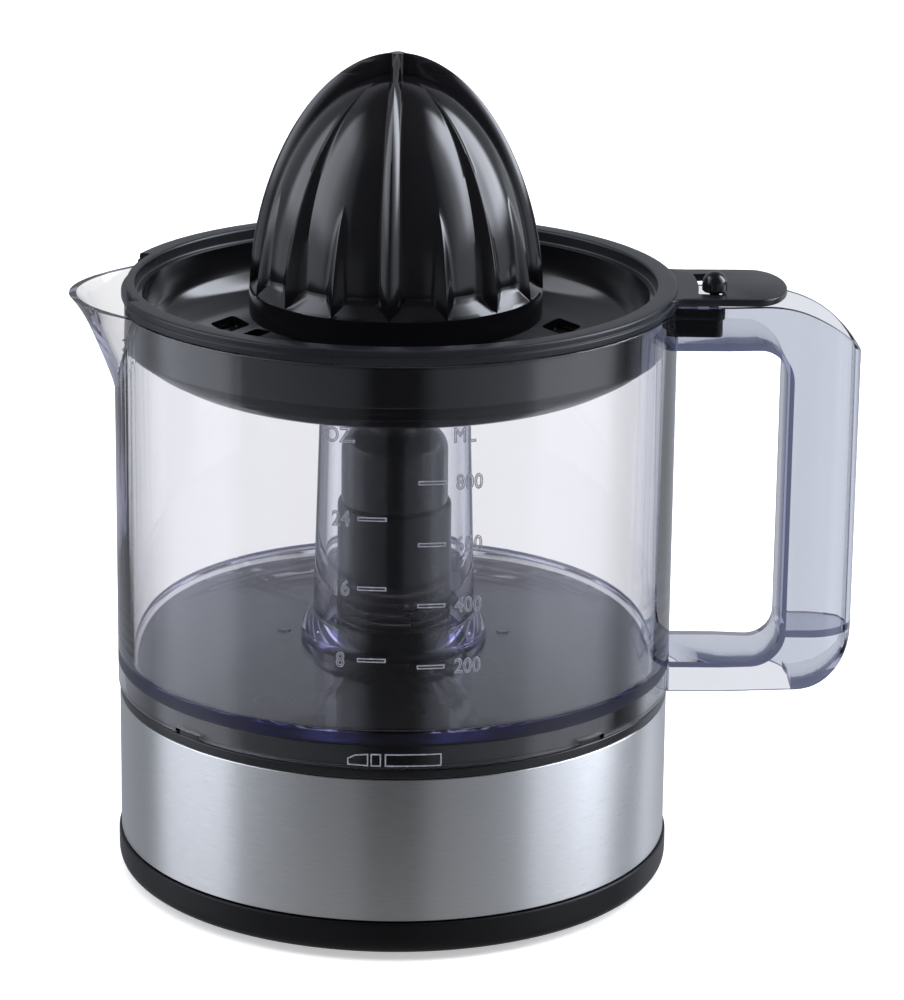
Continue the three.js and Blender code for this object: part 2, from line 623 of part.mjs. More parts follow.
function bowlSlots(low, high) {
  const cuts = [];
  for (let i = 0; i < SLOTS.count; i += 1) {
    const middle = (i + 0.5) * 360 / SLOTS.count;
    const half = SLOTS.degrees / 2;
    for (const [near, far] of i % 2 ? [SLOTS.outer] : [SLOTS.outer, SLOTS.inner]) {
      const across = near * Math.tan(radians(half));
      cuts.push(block([near, far], [-across, across], [low, high]).rotate([0, 0, middle]));
    }
  }
  return together(cuts);
}

// The tab over the handle, with concave fillets where it leaves the rim.
function tabShape() {
  const { half, straight, end, fillet } = TAB;
  const rimX = Math.sqrt(STRAINER.rim ** 2 - (half + fillet) ** 2);
  const shape = new THREE.Shape();
  shape.moveTo(60, -half - fillet);
  shape.lineTo(rimX - 1, -half - fillet);
  shape.quadraticCurveTo(rimX + 1.6, -half, rimX + fillet + 1, -half);
  shape.lineTo(straight, -half);
  shape.absellipse(straight, 0, end - straight, half, -Math.PI / 2, Math.PI / 2, false);
  shape.lineTo(rimX + fillet + 1, half);
  shape.quadraticCurveTo(rimX + 1.6, half, rimX - 1, half + fillet);
  shape.lineTo(60, half + fillet);
  shape.closePath();
  return shape;
}

function strainer() {
  const { top, flange, rim, rimInner, seat, ledge, shell } = STRAINER;
  const under = bowlBelow(shell).reverse();
  const [floorRadius, floorTop] = BOWL.at(-1);
  const body = turned([
    [rimInner, top], [rimInner, ledge], [BOWL[0][0], ledge], ...BOWL,
    [floorRadius, HUB.under], ...under.slice(1, -1),
    [63.3, 138], [63.3, seat], [flange, seat], [flange, top - 1.9], [rim, top - 1.7], [rim, top],
  ]);
  const [spigotInner, spigotOuter] = [TUBE.high + 1.2, TUBE.high + 2.9];
  const hub = turned([
    [HUB.bore, HUB.under], [spigotInner, HUB.under],
    [spigotInner, HUB.spigotBottom], [spigotOuter, HUB.spigotBottom],
    [spigotOuter, HUB.under], [35.4, HUB.under], [35.4, HUB.ringFoot], [38.6, HUB.ringFoot], [37.2, 123.9],
    [37.2, floorTop], [HUB.outer, floorTop], [HUB.outer, HUB.top], [HUB.bore, HUB.top],
  ], 24);
  const tab = raised(tabShape(), TAB.top - TAB.thickness, TAB.top, 8).subtract(drum(63.6, 140, 155));
  const slot = sector([KNOB.at - 4, KNOB.at + 4], [KNOB.angle - 3.2, -KNOB.angle + 3.2], [140, 155]);
  return body.add(hub).subtract(bowlSlots(120, 137.5)).add(tab).subtract(slot);
}

// Lever from the ring through the jug's notch into the handle's channel, in two steps with a rounded end.
function pulpLever() {
  const endRadius = 1.7;
  const endAt = KNOB.at + 1;
  const plan = new THREE.Shape();
  plan.moveTo(64.4, -2.5);
  plan.lineTo(endAt, -endRadius);
  plan.absarc(endAt, 0, endRadius, -Math.PI / 2, Math.PI / 2, false);
  plan.lineTo(64.4, 2.5);
  plan.closePath();
  const upper = raised(plan, 141.9, RING.top, 5);
  const lower = upper.scale([1, 1, 1.6]).translate([-0.5, 0, 142 - 1.6 * RING.top]);
  return together([upper, lower]).rotate([0, 0, KNOB.angle]);
}

function pulpRing() {
  const { band, bandInner, top, clearance, shell, inner } = RING;
  const upperFace = bowlBelow(STRAINER.shell + clearance).slice(1, -1);
  const lowerFace = bowlBelow(STRAINER.shell + clearance + shell).slice(1, -1).reverse();
  const body = turned([
    [bandInner, top], [bandInner, 137.3], ...upperFace, [inner, 125.6], [inner, 123.9], ...lowerFace,
    [band - 0.8, 134], [band, 135.4], [band, top],
  ]);
  const stemHole = pin(KNOB.stem + 0.1, 139, 150, ...onCircle(KNOB.at, KNOB.angle), 20);
  return body.subtract(bowlSlots(118, 137)).add(pulpLever()).subtract(stemHole);
}

// The push knob: a stem fixed in the lever and a domed cap above the tab.
function pulpKnob() {
  const { stem, radius, top, at, angle } = KNOB;
  const dome = [0, 22.5, 45, 67.5].map((turn) => {
    const [across, up] = onCircle(radius, turn);
    return [across, top - radius + up];
  });
  const foot = [[0, 140], [stem, 140], [stem, TAB.top + GAP], [radius - 0.4, TAB.top + GAP]];
  const profile = [...foot, [radius, TAB.top + 0.8], ...dome, [0, top]];
  return turned(profile, 20).translate([...onCircle(at, angle), 0]);
}

// ---------------------------------------------------------------- cones

// Radius of a round-nosed cone at height z: blunter than a cone, sharper than a ball.
function domeRadius(z, foot, apex, radius) {
  const share = Math.max(0, (z - foot) / (apex - foot));
  return radius * Math.sqrt(Math.max(0, 1 - share ** 1.75));
}

// Skin of a ribbed cone: ribs at equal angles, their crests on one dome and the lobes between on a lower one.
function ribbedSkin({ foot, apex, radius, lobeApex, lobeRadius, ribs, skirt }) {
  const halfWidth = 2; // mm, half a rib's width at its root
  const core = 16; // mm, keeps the ribs thick where they meet above the lobes
  const shares = [0, 0.17, 0.34, 0.5, 0.64, 0.77, 0.88, 0.95];
  const rings = shares.map((share) => {
    const z = foot + share * (apex - foot);
    const lobe = Math.max(domeRadius(z, foot, lobeApex, lobeRadius), core * (1 - share));
    const crest = domeRadius(z, foot, apex, radius);
    const points = [];
    ribs.forEach(([angle, fadeFrom, fadeTo], i) => {
      const nextAngle = i + 1 < ribs.length ? ribs[i + 1][0] : ribs[0][0] + 360;
      const height = THREE.MathUtils.clamp((fadeTo - z) / (fadeTo - fadeFrom), 0, 1);
      const peak = lobe + (crest - lobe) * height;
      const root = THREE.MathUtils.radToDeg(Math.atan2(halfWidth, Math.max(lobe, 2.4 * halfWidth)));
      const spread = Math.min(root, (nextAngle - angle) * 0.3);
      points.push([...onCircle(lobe, angle - spread), z]);
      points.push([...onCircle(peak, angle), z]);
      points.push([...onCircle(lobe, angle + spread), z]);
      points.push([...onCircle(lobe, (angle + nextAngle) / 2), z]);
    });
    return points;
  });
  const tip = rings[0].map(() => [0, 0, apex]);
  const foots = skirt.map(([r, z]) => rings[0].map(([x, y]) => {
    const length = Math.hypot(x, y);
    return [x * r / length, y * r / length, z];
  }));
  const closing = rings[0].map(() => [0, 0, skirt[0][1]]);
  return stitched([closing, ...foots, ...rings, tip]);
}

// Sixteen ribs as [angle, z where it starts to fade, z where it ends]: every fourth reaches the apex, those
// midway between are long, and the rest are short, or left out where no height is given for them.
function coneRibs(apex, longTop, shortTop) {
  const ribs = [];
  for (let i = 0; i < 16; i += 1) {
    const angle = i * 22.5 - 2.7;
    if (i % 4 === 0) ribs.push([angle, apex, apex + 1]);
    else if (i % 4 === 2) ribs.push([angle, longTop - CONE.ribFade, longTop]);
    else if (shortTop) ribs.push([angle, shortTop - CONE.ribFade, shortTop]);
  }
  return ribs;
}

const fourTimes = (solid) => [0, 90, 180, 270].map((turn) => solid.rotate([0, 0, turn]));

// The big cone: a thin shell that drops over the small one, with four keys that enter its flange's notches.
function largeCone() {
  const { base, shoulder, radius, apex, lobeRadius, lobeApex, shell } = CONE;
  const outside = ribbedSkin({
    foot: shoulder + 3, apex, radius, lobeApex, lobeRadius,
    ribs: coneRibs(apex, CONE.longRibTop, CONE.shortRibTop), skirt: [[radius, base], [radius, shoulder]],
  });
  const hollowTop = lobeApex - 3;
  const hollow = [0, 0.22, 0.42, 0.6, 0.76, 0.89, 0.97].map((share) => {
    const z = shoulder + share * (hollowTop - shoulder);
    return [domeRadius(z, shoulder, hollowTop, lobeRadius - shell), z];
  });
  const insideRadius = radius - shell;
  const inside = turned([
    [0, base - 1], [insideRadius, base - 1], [insideRadius, shoulder - 2], ...hollow, [0, hollowTop],
  ], 32);
  const key = block([SMALL_CONE.flange - 1.6, radius - 1], [-2, 2], [base, shoulder - 0.5]);
  return together([outside.subtract(inside), ...fourTimes(key)]);
}

// The small cone: its own shell, a flange that the big cone sits on, and the stem with the drive socket.
function smallCone() {
  const { radius, lobeRadius, apex, lobeApex, longRibTop, flange, flangeTop } = SMALL_CONE;
  const foot = CONE.shoulder;
  const outside = ribbedSkin({
    foot, apex, radius, lobeApex, lobeRadius,
    ribs: coneRibs(apex, longRibTop, 0), skirt: [[radius, CONE.base], [radius, foot - 1]],
  });
  const hollowTop = lobeApex - 3;
  const hollow = [0, 0.3, 0.55, 0.76, 0.93].map((share) => {
    const z = foot + share * (hollowTop - foot);
    return [domeRadius(z, foot, hollowTop, lobeRadius - CONE.shell), z];
  });
  const inside = turned([
    [0, CONE.base - 1], [radius - CONE.shell - 1, CONE.base - 1], ...hollow, [0, hollowTop],
  ], 24);
  const stem = turned([
    [0, STEM.bottom], [STEM.radius, STEM.bottom], [STEM.radius, 172], [6, hollowTop - 1], [3, hollowTop + 1],
    [0, hollowTop + 1],
  ], FINE);
  const notch = block([flange - 2, 40], [-2.4, 2.4], [130, 150]);
  const rim = ring(radius - 2, flange, CONE.base, flangeTop, 32).subtract(together(fourTimes(notch)));
  const socket = squareBar(STEM.socket, STEM.bottom - 1, STEM.socketTop).add(pin(3.6, 130, 180, 0, 0, 20));
  return together([outside.subtract(inside), stem, rim]).subtract(socket);
}

// ---------------------------------------------------------------- assembly

const juicer = new THREE.Group();
juicer.position.x = AXIS_X;

function put(name, solid, material) {
  const mesh = new THREE.Mesh(toGeometry(solid), material);
  mesh.name = name;
  juicer.add(mesh);
}

put('base_housing', baseHousing(), MATERIAL.satinBlack);
put('tower_cap', towerCap(), MATERIAL.satinBlack);
put('upper_bush', upperBush(), MATERIAL.brass);
put('shaft_seal', shaftSeal(), MATERIAL.rubber);
put('steel_band', steelBand(), MATERIAL.steelBand);
put('base_cover', baseCover(), MATERIAL.satinBlack);
footPlaces.forEach((place, i) => put(`foot_${i + 1}`, foot(place), MATERIAL.rubber));
coverScrewPlaces.forEach((place, i) => {
  const { head, shank, headBottom, seat, tip } = COVER_SCREWS;
  put(`cover_screw_${i + 1}`, screwUp(head, shank, headBottom, seat, tip, ...place), MATERIAL.steel);
});
put('inlet_bush', inletBush(), MATERIAL.rubber);

put('gearbox_plate', gearboxPlate(), MATERIAL.lamination);
plateScrewPlaces.forEach((place, i) => {
  const { head, shank, headHeight, tip } = PLATE_SCREWS;
  const seat = PLATE.bottom - GAP;
  put(`plate_screw_${i + 1}`, screwUp(head, shank, seat - headHeight, seat, tip, ...place), MATERIAL.steel);
});
put('lower_bush', lowerBush(), MATERIAL.brass);
put('idler_axle', idlerAxle(), MATERIAL.steel);
put('motor_core', motorCore(), MATERIAL.lamination);
put('motor_coil', motorCoil(), MATERIAL.copper);
put('motor_bracket', motorBracket(), MATERIAL.lamination);
put('motor_bush', motorBush(), MATERIAL.brass);
motorScrews().forEach((screw, i) => put(`motor_screw_${i + 1}`, screw, MATERIAL.steel));
put('motor_rotor', motorRotor(), MATERIAL.lamination);
put('motor_shaft', motorShaft(), MATERIAL.steel);
put('motor_pinion', motorPinion(), MATERIAL.brass);
put('compound_gear', compoundGear(), MATERIAL.nylon);
put('output_gear', outputGear(), MATERIAL.nylon);
put('drive_shaft', driveShaft(), MATERIAL.steel);
put('shaft_clip', shaftClip(), MATERIAL.steel);
put('spring_collar', springCollar(), MATERIAL.brass);
put('return_spring', returnSpring(), MATERIAL.steel);
put('switch_body', switchBody(), MATERIAL.satinBlack);
put('switch_plunger', switchPlunger(), MATERIAL.red);

put('jug', jugBody(), MATERIAL.clear);
put('strainer', strainer(), MATERIAL.glossBlack);
put('pulp_ring', pulpRing(), MATERIAL.satinBlack);
put('pulp_knob', pulpKnob(), MATERIAL.glossBlack);
put('small_cone', smallCone(), MATERIAL.glossBlack);
put('large_cone', largeCone(), MATERIAL.glossBlack);

export default juicer;
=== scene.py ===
"""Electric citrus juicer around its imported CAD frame: a motor base with a brushed band, a clear jug with a
spout and a hollow handle, a strainer with a pulp ring under it, and two nested reamer cones.

Shapes are drawn in millimetres from the juicer's vertical axis, z = 0 under the feet, and then put in the
frame. The handle points along +X, the spout along -X, and the front faces -Y."""

import json
import math

import bmesh
import bpy
from mathutils import Matrix, Vector


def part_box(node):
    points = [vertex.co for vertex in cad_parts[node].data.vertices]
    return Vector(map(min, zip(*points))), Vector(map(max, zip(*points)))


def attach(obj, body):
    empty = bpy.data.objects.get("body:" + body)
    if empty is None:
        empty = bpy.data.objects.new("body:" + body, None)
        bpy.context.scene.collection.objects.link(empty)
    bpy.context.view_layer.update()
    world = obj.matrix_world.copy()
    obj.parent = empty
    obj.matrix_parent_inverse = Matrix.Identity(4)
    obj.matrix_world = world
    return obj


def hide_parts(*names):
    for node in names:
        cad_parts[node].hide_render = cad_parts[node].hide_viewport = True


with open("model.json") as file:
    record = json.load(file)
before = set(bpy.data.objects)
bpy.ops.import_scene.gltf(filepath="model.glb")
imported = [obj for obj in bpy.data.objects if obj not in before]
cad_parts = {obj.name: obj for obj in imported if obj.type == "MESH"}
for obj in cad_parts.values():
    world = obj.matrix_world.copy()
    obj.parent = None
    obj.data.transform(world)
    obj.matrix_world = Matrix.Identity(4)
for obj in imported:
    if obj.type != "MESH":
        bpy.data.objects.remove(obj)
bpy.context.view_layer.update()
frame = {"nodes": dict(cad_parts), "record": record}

# ---- sizes taken from the frame ----

MM = 0.001


def span(node):
    """Lowest and highest corner of a CAD node in millimetres, x counted from the juicer's axis."""
    low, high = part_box(node)
    shift = Vector((AXIS_X, 0, 0))
    return (low - shift) / MM, (high - shift) / MM


AXIS_X = sum(corner.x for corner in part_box("steel_band")) / 2
band_low, band_high = span("steel_band")
cover_low, cover_high = span("base_cover")
housing_low, housing_high = span("base_housing")
cap_low, cap_high = span("tower_cap")
jug_high = span("jug")[1]
strainer_high = span("strainer")[1]
ring_high = span("pulp_ring")[1]
knob_low, knob_high = span("pulp_knob")
cone_low, cone_high = span("large_cone")
small_low, small_high = span("small_cone")
shaft_low, shaft_high = span("drive_shaft")

# ---- driving dimensions, mm and degrees ----

TURNS = 192  # facets round a large wall
BAND_RADIUS = band_high.x
DECK = {"ring_top": 48.4, "top": 53.8, "plateau": 64.9, "lug_inner": 65.4, "wall": 2.2}
TOWER = {"radius": 14.2, "top": housing_high.z, "cap_radius": 13.3, "shoulder": 4.8, "collar": 3.4}
LUG_ANGLES = (-136, -46, 44, 134)
LUG_TOP = 49.7
JUG_RADIUS = 68
JUG = {"wall": 2.2, "skirt": 48.7, "floor_under": 54.3, "floor_top": 57.5, "top": 145.6}
TUBE = {"low": 19.9, "high": 18.2, "wall": 2, "top": 124, "flare": 23.1, "flare_z": 59.4, "neck_z": 64}
SPOUT = {"reach": 10.9, "half_angle": 24.5, "bottom": 123, "wall": 1.8}
HANDLE = {"half": 10.3, "root_half": 12, "flare_from": 80, "flare_to": 97, "end": jug_high.x, "top": 145.3,
          "bend": 29.4, "drop": 12.9, "under": 48.5, "wall": 1.7, "inner": 94.3, "gap_low": 56,
          "gap_high": 134.8, "corner": 7, "heel": 15, "seam": 63.6}
STRAINER = {"top": strainer_high.z, "rim": 67.8, "flange": 68.3, "rim_inner": 62.9, "ledge": 146,
            "seat": 145.9, "spout_rim": 64.8, "spout_flange": 66.2, "spout_half_angle": 21}
BOWL = ((61.2, 138.5), (59.5, 135, 6), (53.9, 131.5, 14), (46, 129.2, 20), (22, 128))
TAB = {"top": 148.4, "thickness": 1.8, "half": 15.2, "straight": 86, "end": strainer_high.x, "fillet": 7}
SLOTS = {"count": 16, "outer": (46.8, 52.3), "inner": (39.8, 44.2), "degrees": 12.5}
KNOB = {"at": 76.6, "angle": -6.1, "radius": 3}
CONE = {"shoulder": 147.5, "radius": 35.4, "lobe_radius": 31.6, "lobe_apex": 199.4, "bulge": 1.6,
        "long_top": 196.5, "short_top": 171.5}
SMALL_CONE = {"shoulder": 147.5, "radius": 26.2, "lobe_radius": 23, "lobe_apex": 189.5, "bulge": 0.9,
              "long_top": 186}
APRON = 3.5  # height of the flare at a cone's foot
RIB_WIDTHS = {"primary": 3.2, "long": 5.0, "short": 2.9}  # half-widths at the foot
RIB_TURN = -2.7  # degrees from +X to the first rib
# Outline of half a rib, from the lobe to the crest: share of the half-width and of the height.
RIDGE = {"primary": ((-1, 0), (-0.9, 0.3), (-0.75, 0.62), (-0.12, 0.97), (0, 1)),
         "long": ((-1, 0), (-0.75, 0.25), (-0.45, 0.55), (-0.12, 0.94), (0, 1)),
         "short": ((-1, 0), (-0.75, 0.25), (-0.45, 0.55), (-0.12, 0.93), (0, 1))}
RELIEF_RADIUS = 0.17  # half the thickness of the scale's raised edges
DIGIT_HEIGHT = 3.5
TICK_HEIGHT = 0.7
HEADING_Z = 129.5
# Heights of the scale's ticks, the angles of their ends, and of the middles of its text and heading.
SCALES = {"ML": {"ticks": {"800": 118.3, "600": 103.5, "400": 88.8, "200": 73.9}, "ends": (-85.3, -80.1),
                 "text": -75.4, "heading": -76.5},
          "OZ.": {"ticks": {"24": 109.6, "16": 92.9, "8": 75.5}, "ends": (-97, -91.6),
                  "text": -100.4, "heading": -100.6}}


# ---- mesh tools ----

def polar(radius, degrees):
    angle = math.radians(degrees)
    return radius * math.cos(angle), radius * math.sin(angle)


def new_object(name, mesh):
    made = bpy.data.objects.new(name, mesh)
    bpy.context.scene.collection.objects.link(made)
    return made


def solid_from(bm):
    """A mesh object whose faces all point out."""
    bmesh.ops.recalc_face_normals(bm, faces=bm.faces)
    mesh = bpy.data.meshes.new("solid")
    bm.to_mesh(mesh)
    bm.free()
    return new_object("solid", mesh)


def rounded(points, steps=5):
    """The outline through points, with an arc at each corner whose third number gives a radius."""
    made = []
    for i, point in enumerate(points):
        here = Vector(point[:2])
        if len(point) < 3 or not point[2]:
            made.append(tuple(here))
            continue
        back = Vector(points[i - 1][:2]) - here
        ahead = Vector(points[(i + 1) % len(points)][:2]) - here
        half = back.angle(ahead) / 2
        trim = min(point[2] / math.tan(half), 0.49 * back.length, 0.49 * ahead.length)
        start = here + back.normalized() * trim
        end = here + ahead.normalized() * trim
        for k in range(steps + 1):
            t = k / steps
            made.append(tuple(start * (1 - t) ** 2 + here * 2 * t * (1 - t) + end * t ** 2))
    return made


def arc(centre, radius, start, end, steps=10):
    """Points on an arc of a circle, or of an ellipse where radius holds two numbers."""
    rx, ry = radius if isinstance(radius, tuple) else (radius, radius)
    points = []
    for k in range(steps + 1):
        angle = math.radians(start + (end - start) * k / steps)
        points.append((centre[0] + rx * math.cos(angle), centre[1] + ry * math.sin(angle)))
    return points


def turned(profile, facets=TURNS):
    """A profile of (radius, z) turned about the axis: it closes on itself, or starts and ends on the axis."""
    bm = bmesh.new()
    rings = []
    for radius, z in profile:
        if radius < 1e-6:
            rings.append([bm.verts.new((0, 0, z))])
        else:
            spots = (polar(radius, 360 * k / facets) for k in range(facets))
            rings.append([bm.verts.new((x, y, z)) for x, y in spots])
    pairs = list(zip(rings, rings[1:]))
    if len(rings[0]) > 1:
        pairs.append((rings[-1], rings[0]))
    for low, high in pairs:
        for k in range(facets):
            n = (k + 1) % facets
            corners = [low[k % len(low)], low[n % len(low)], high[n % len(high)], high[k % len(high)]]
            face = list(dict.fromkeys(corners))
            if len(face) > 2:
                bm.faces.new(face)
    return solid_from(bm)


def cylinder(radius, low, high, facets=TURNS):
    return turned([(0, low), (radius, low), (radius, high), (0, high)], facets)


def prism(outline, low, high):
    """A flat outline given height along z."""
    bm = bmesh.new()
    bottom = [bm.verts.new((x, y, low)) for x, y in outline]
    top = [bm.verts.new((x, y, high)) for x, y in outline]
    bm.faces.new(bottom)
    bm.faces.new(top)
    for k in range(len(outline)):
        n = (k + 1) % len(outline)
        bm.faces.new((bottom[k], bottom[n], top[n], top[k]))
    return solid_from(bm)


def block(x, y, z, corner=0.0):
    """A box with rounded upright edges."""
    outline = [(x[0], y[0], corner), (x[1], y[0], corner), (x[1], y[1], corner), (x[0], y[1], corner)]
    return prism(rounded(outline, steps=4), z[0], z[1])


def stitched(rings):
    """Closed rings of points, all the same length, stitched into one skin with flat ends."""
    bm = bmesh.new()
    rows = [[bm.verts.new(point) for point in points] for points in rings]
    for low, high in zip(rows, rows[1:]):
        for k in range(len(low)):
            n = (k + 1) % len(low)
            bm.faces.new((low[k], low[n], high[n], high[k]))
    bm.faces.new(rows[0])
    bm.faces.new(rows[-1])
    return solid_from(bm)


def moved(solid, matrix):
    solid.data.transform(matrix)
    return solid


def shifted(solid, x, y, z):
    return moved(solid, Matrix.Translation((x, y, z)))


def turned_by(solid, degrees):
    return moved(solid, Matrix.Rotation(math.radians(degrees), 4, "Z"))


STAND_UP = Matrix.Rotation(math.pi / 2, 4, "X")  # an outline drawn in x and y then lies in x and z


def sideways(outline, half):
    return moved(prism(outline, -half, half), STAND_UP)


def evaluated_mesh(thing):
    graph = bpy.context.evaluated_depsgraph_get()
    return bpy.data.meshes.new_from_object(thing.evaluated_get(graph), depsgraph=graph)


def applied(solid):
    """Replaces a solid's mesh by what its modifiers make of it."""
    mesh = evaluated_mesh(solid)
    solid.modifiers.clear()
    solid.data = mesh
    return solid


def combined(solid, operation, tools):
    for tool in tools:
        modifier = solid.modifiers.new("combine", "BOOLEAN")
        modifier.operation = operation
        modifier.solver = "MANIFOLD"
        modifier.object = tool
    applied(solid)
    for tool in tools:
        bpy.data.objects.remove(tool)
    return solid


def joined(solid, *tools):
    return combined(solid, "UNION", tools)


def cut(solid, *tools):
    return combined(solid, "DIFFERENCE", tools)


def common(solid, *tools):
    return combined(solid, "INTERSECT", tools)


def softened(solid, width):
    """Rounds a solid's sharp edges."""
    modifier = solid.modifiers.new("soften", "BEVEL")
    modifier.width = width
    modifier.segments = 3
    modifier.limit_method = "ANGLE"
    modifier.angle_limit = math.radians(40)
    return applied(solid)


def placed(solid, name, body, node, slot, look=None, sharp=32):
    """Puts a finished solid in the frame as a piece that stands for a CAD node and rides on a body."""
    solid.name = name
    mesh = solid.data
    mesh.name = name
    mesh.transform(Matrix.Translation((AXIS_X, 0, 0)) @ Matrix.Scale(MM, 4))
    mesh.materials.clear()
    mesh.materials.append(MATERIALS[look or slot])
    mesh.polygons.foreach_set("use_smooth", [True] * len(mesh.polygons))
    mesh.set_sharp_from_angle(angle=math.radians(sharp))
    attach(solid, body)
    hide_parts(node)


def repainted(solid, look, chosen):
    """Gives another material to faces chosen by distance from the axis and height."""
    solid.data.materials.append(MATERIALS[look])
    for face in solid.data.polygons:
        x, y, z = (face.center - Vector((AXIS_X, 0, 0))) / MM
        if chosen(math.hypot(x, y), z):
            face.material_index = 1


# ---- materials ----

def node_material(name, **sockets):
    """A new material and its Principled shader, with values set on the shader's sockets."""
    material = bpy.data.materials.new(name)
    material.use_nodes = True
    shader = material.node_tree.nodes["Principled BSDF"]
    for socket, value in sockets.items():
        shader.inputs[socket.replace("_", " ")].default_value = value
    return material, shader


def add_node(owner, kind, **settings):
    """A new node, with values set on its sockets, or on itself where no socket has that name."""
    node = owner.node_tree.nodes.new(kind)
    for name, value in settings.items():
        socket = name.replace("_", " ")
        if socket in node.inputs:
            node.inputs[socket].default_value = value
        else:
            setattr(node, name, value)
    return node


def link(owner, source, target):
    owner.node_tree.links.new(source, target)


def calculated(owner, operation, *values):
    """Result of a maths node on sockets and plain numbers."""
    node = add_node(owner, "ShaderNodeMath", operation=operation)
    for socket, value in zip(node.inputs, values):
        if isinstance(value, (int, float)):
            socket.default_value = value
        else:
            link(owner, value, socket)
    return node.outputs["Value"]


def noise_on(material, vector, scale, detail, stretch):
    mapping = add_node(material, "ShaderNodeMapping", Scale=stretch)
    noise = add_node(material, "ShaderNodeTexNoise", Scale=scale, Detail=detail)
    link(material, vector, mapping.inputs["Vector"])
    link(material, mapping.outputs["Vector"], noise.inputs["Vector"])
    return noise.outputs["Fac"]


def object_noise(material, scale, detail, stretch=(1, 1, 1)):
    """Noise in the piece's own metres; scale is in waves per metre."""
    place = add_node(material, "ShaderNodeTexCoord")
    return noise_on(material, place.outputs["Object"], scale, detail, stretch)


def ranged(material, source, low, high):
    """The middle of a noise signal spread from low to high."""
    node = add_node(material, "ShaderNodeMapRange", From_Min=0.3, From_Max=0.7, To_Min=low, To_Max=high)
    link(material, source, node.inputs["Value"])
    return node.outputs["Result"]


def shaded(material, source, dark, light):
    """The middle of a noise signal as a colour between two."""
    node = add_node(material, "ShaderNodeValToRGB")
    node.color_ramp.elements[0].position = 0.3
    node.color_ramp.elements[0].color = (*dark, 1)
    node.color_ramp.elements[1].position = 0.7
    node.color_ramp.elements[1].color = (*light, 1)
    link(material, source, node.inputs["Fac"])
    return node.outputs["Color"]


def toned(material, shader, signal, dark, light, smooth, rough):
    """Colour and roughness that follow one signal."""
    link(material, shaded(material, signal, dark, light), shader.inputs["Base Color"])
    link(material, ranged(material, signal, smooth, rough), shader.inputs["Roughness"])


def bumped(material, shader, source, depth_mm, strength=0.3):
    bump = add_node(material, "ShaderNodeBump", Strength=strength, Distance=depth_mm * MM)
    link(material, source, bump.inputs["Height"])
    link(material, bump.outputs["Normal"], shader.inputs["Normal"])


def plastic(name, dark, light, smooth, rough, grain_mm, depth_mm, specular=0.5):
    """Moulded plastic: a fine surface grain, and slow changes of tone and of polish."""
    material, shader = node_material(name, Specular_IOR_Level=specular)
    toned(material, shader, object_noise(material, 22, 3), dark, light, smooth, rough)
    bumped(material, shader, object_noise(material, 1000 / grain_mm, 2), depth_mm, 0.15)
    return material


def metal(name, dark, light, smooth, rough, stretch, scale):
    """Bare metal with drawn or ground marks along one direction."""
    material, shader = node_material(name, Metallic=1.0)
    marks = object_noise(material, scale, 5, stretch)
    toned(material, shader, marks, dark, light, smooth, rough)
    bumped(material, shader, marks, 0.02)
    return material


def brushed_band(name):
    """Steel with fine brush marks running round the axis: noise laid out by angle and height."""
    material, shader = node_material(name, Metallic=1.0, Anisotropic=0.9, Anisotropic_Rotation=0.25)
    place = add_node(material, "ShaderNodeTexCoord")
    centred = add_node(material, "ShaderNodeVectorMath", operation="SUBTRACT")
    centred.inputs[1].default_value = (AXIS_X, 0, 0)
    parts = add_node(material, "ShaderNodeSeparateXYZ")
    layout = add_node(material, "ShaderNodeCombineXYZ")
    link(material, place.outputs["Object"], centred.inputs[0])
    link(material, centred.outputs["Vector"], parts.inputs["Vector"])
    angle = calculated(material, "ARCTAN2", parts.outputs["Y"], parts.outputs["X"])
    link(material, angle, layout.inputs["X"])
    link(material, parts.outputs["Z"], layout.inputs["Z"])
    marks = [noise_on(material, layout.outputs["Vector"], 1.0, 3, stretch)
             for stretch in ((9, 1, 5200), (26, 1, 9500))]
    signal = calculated(material, "MULTIPLY", calculated(material, "ADD", *marks), 0.5)
    toned(material, shader, signal, (0.56, 0.57, 0.58), (0.7, 0.71, 0.72), 0.26, 0.36)
    bumped(material, shader, signal, 0.012, 0.35)
    tangent = add_node(material, "ShaderNodeTangent", direction_type="RADIAL", axis="Z")
    link(material, tangent.outputs["Tangent"], shader.inputs["Tangent"])
    return material


def clear_plastic(name, surface_tint, depth_tint, density, roughness=0.015):
    """Clear plastic with a faint tint that deepens with thickness, and slight waves from moulding."""
    material, shader = node_material(name, Transmission_Weight=1.0, Roughness=roughness, IOR=1.5,
                                     Base_Color=(*surface_tint, 1))
    waves = object_noise(material, 40, 2, (1, 1, 0.35))
    bumped(material, shader, waves, 0.08, 0.12)
    tint = add_node(material, "ShaderNodeVolumeAbsorption", Color=(*depth_tint, 1), Density=density)
    link(material, tint.outputs["Volume"], material.node_tree.nodes["Material Output"].inputs["Volume"])
    return material


def relief_painted_light(name):
    """The rounded edges of the moulded scale, painted grey with a slight random tone and a little
    transmission: painted light and shade for the lines that the clear edges show.
    """
    material, shader = node_material(name, Transmission_Weight=0.1, IOR=1.5)
    tone_noise = object_noise(material, 900, 2)
    toned(material, shader, tone_noise, (0.19, 0.2, 0.235), (0.25, 0.265, 0.3), 0.2, 0.3)
    return material


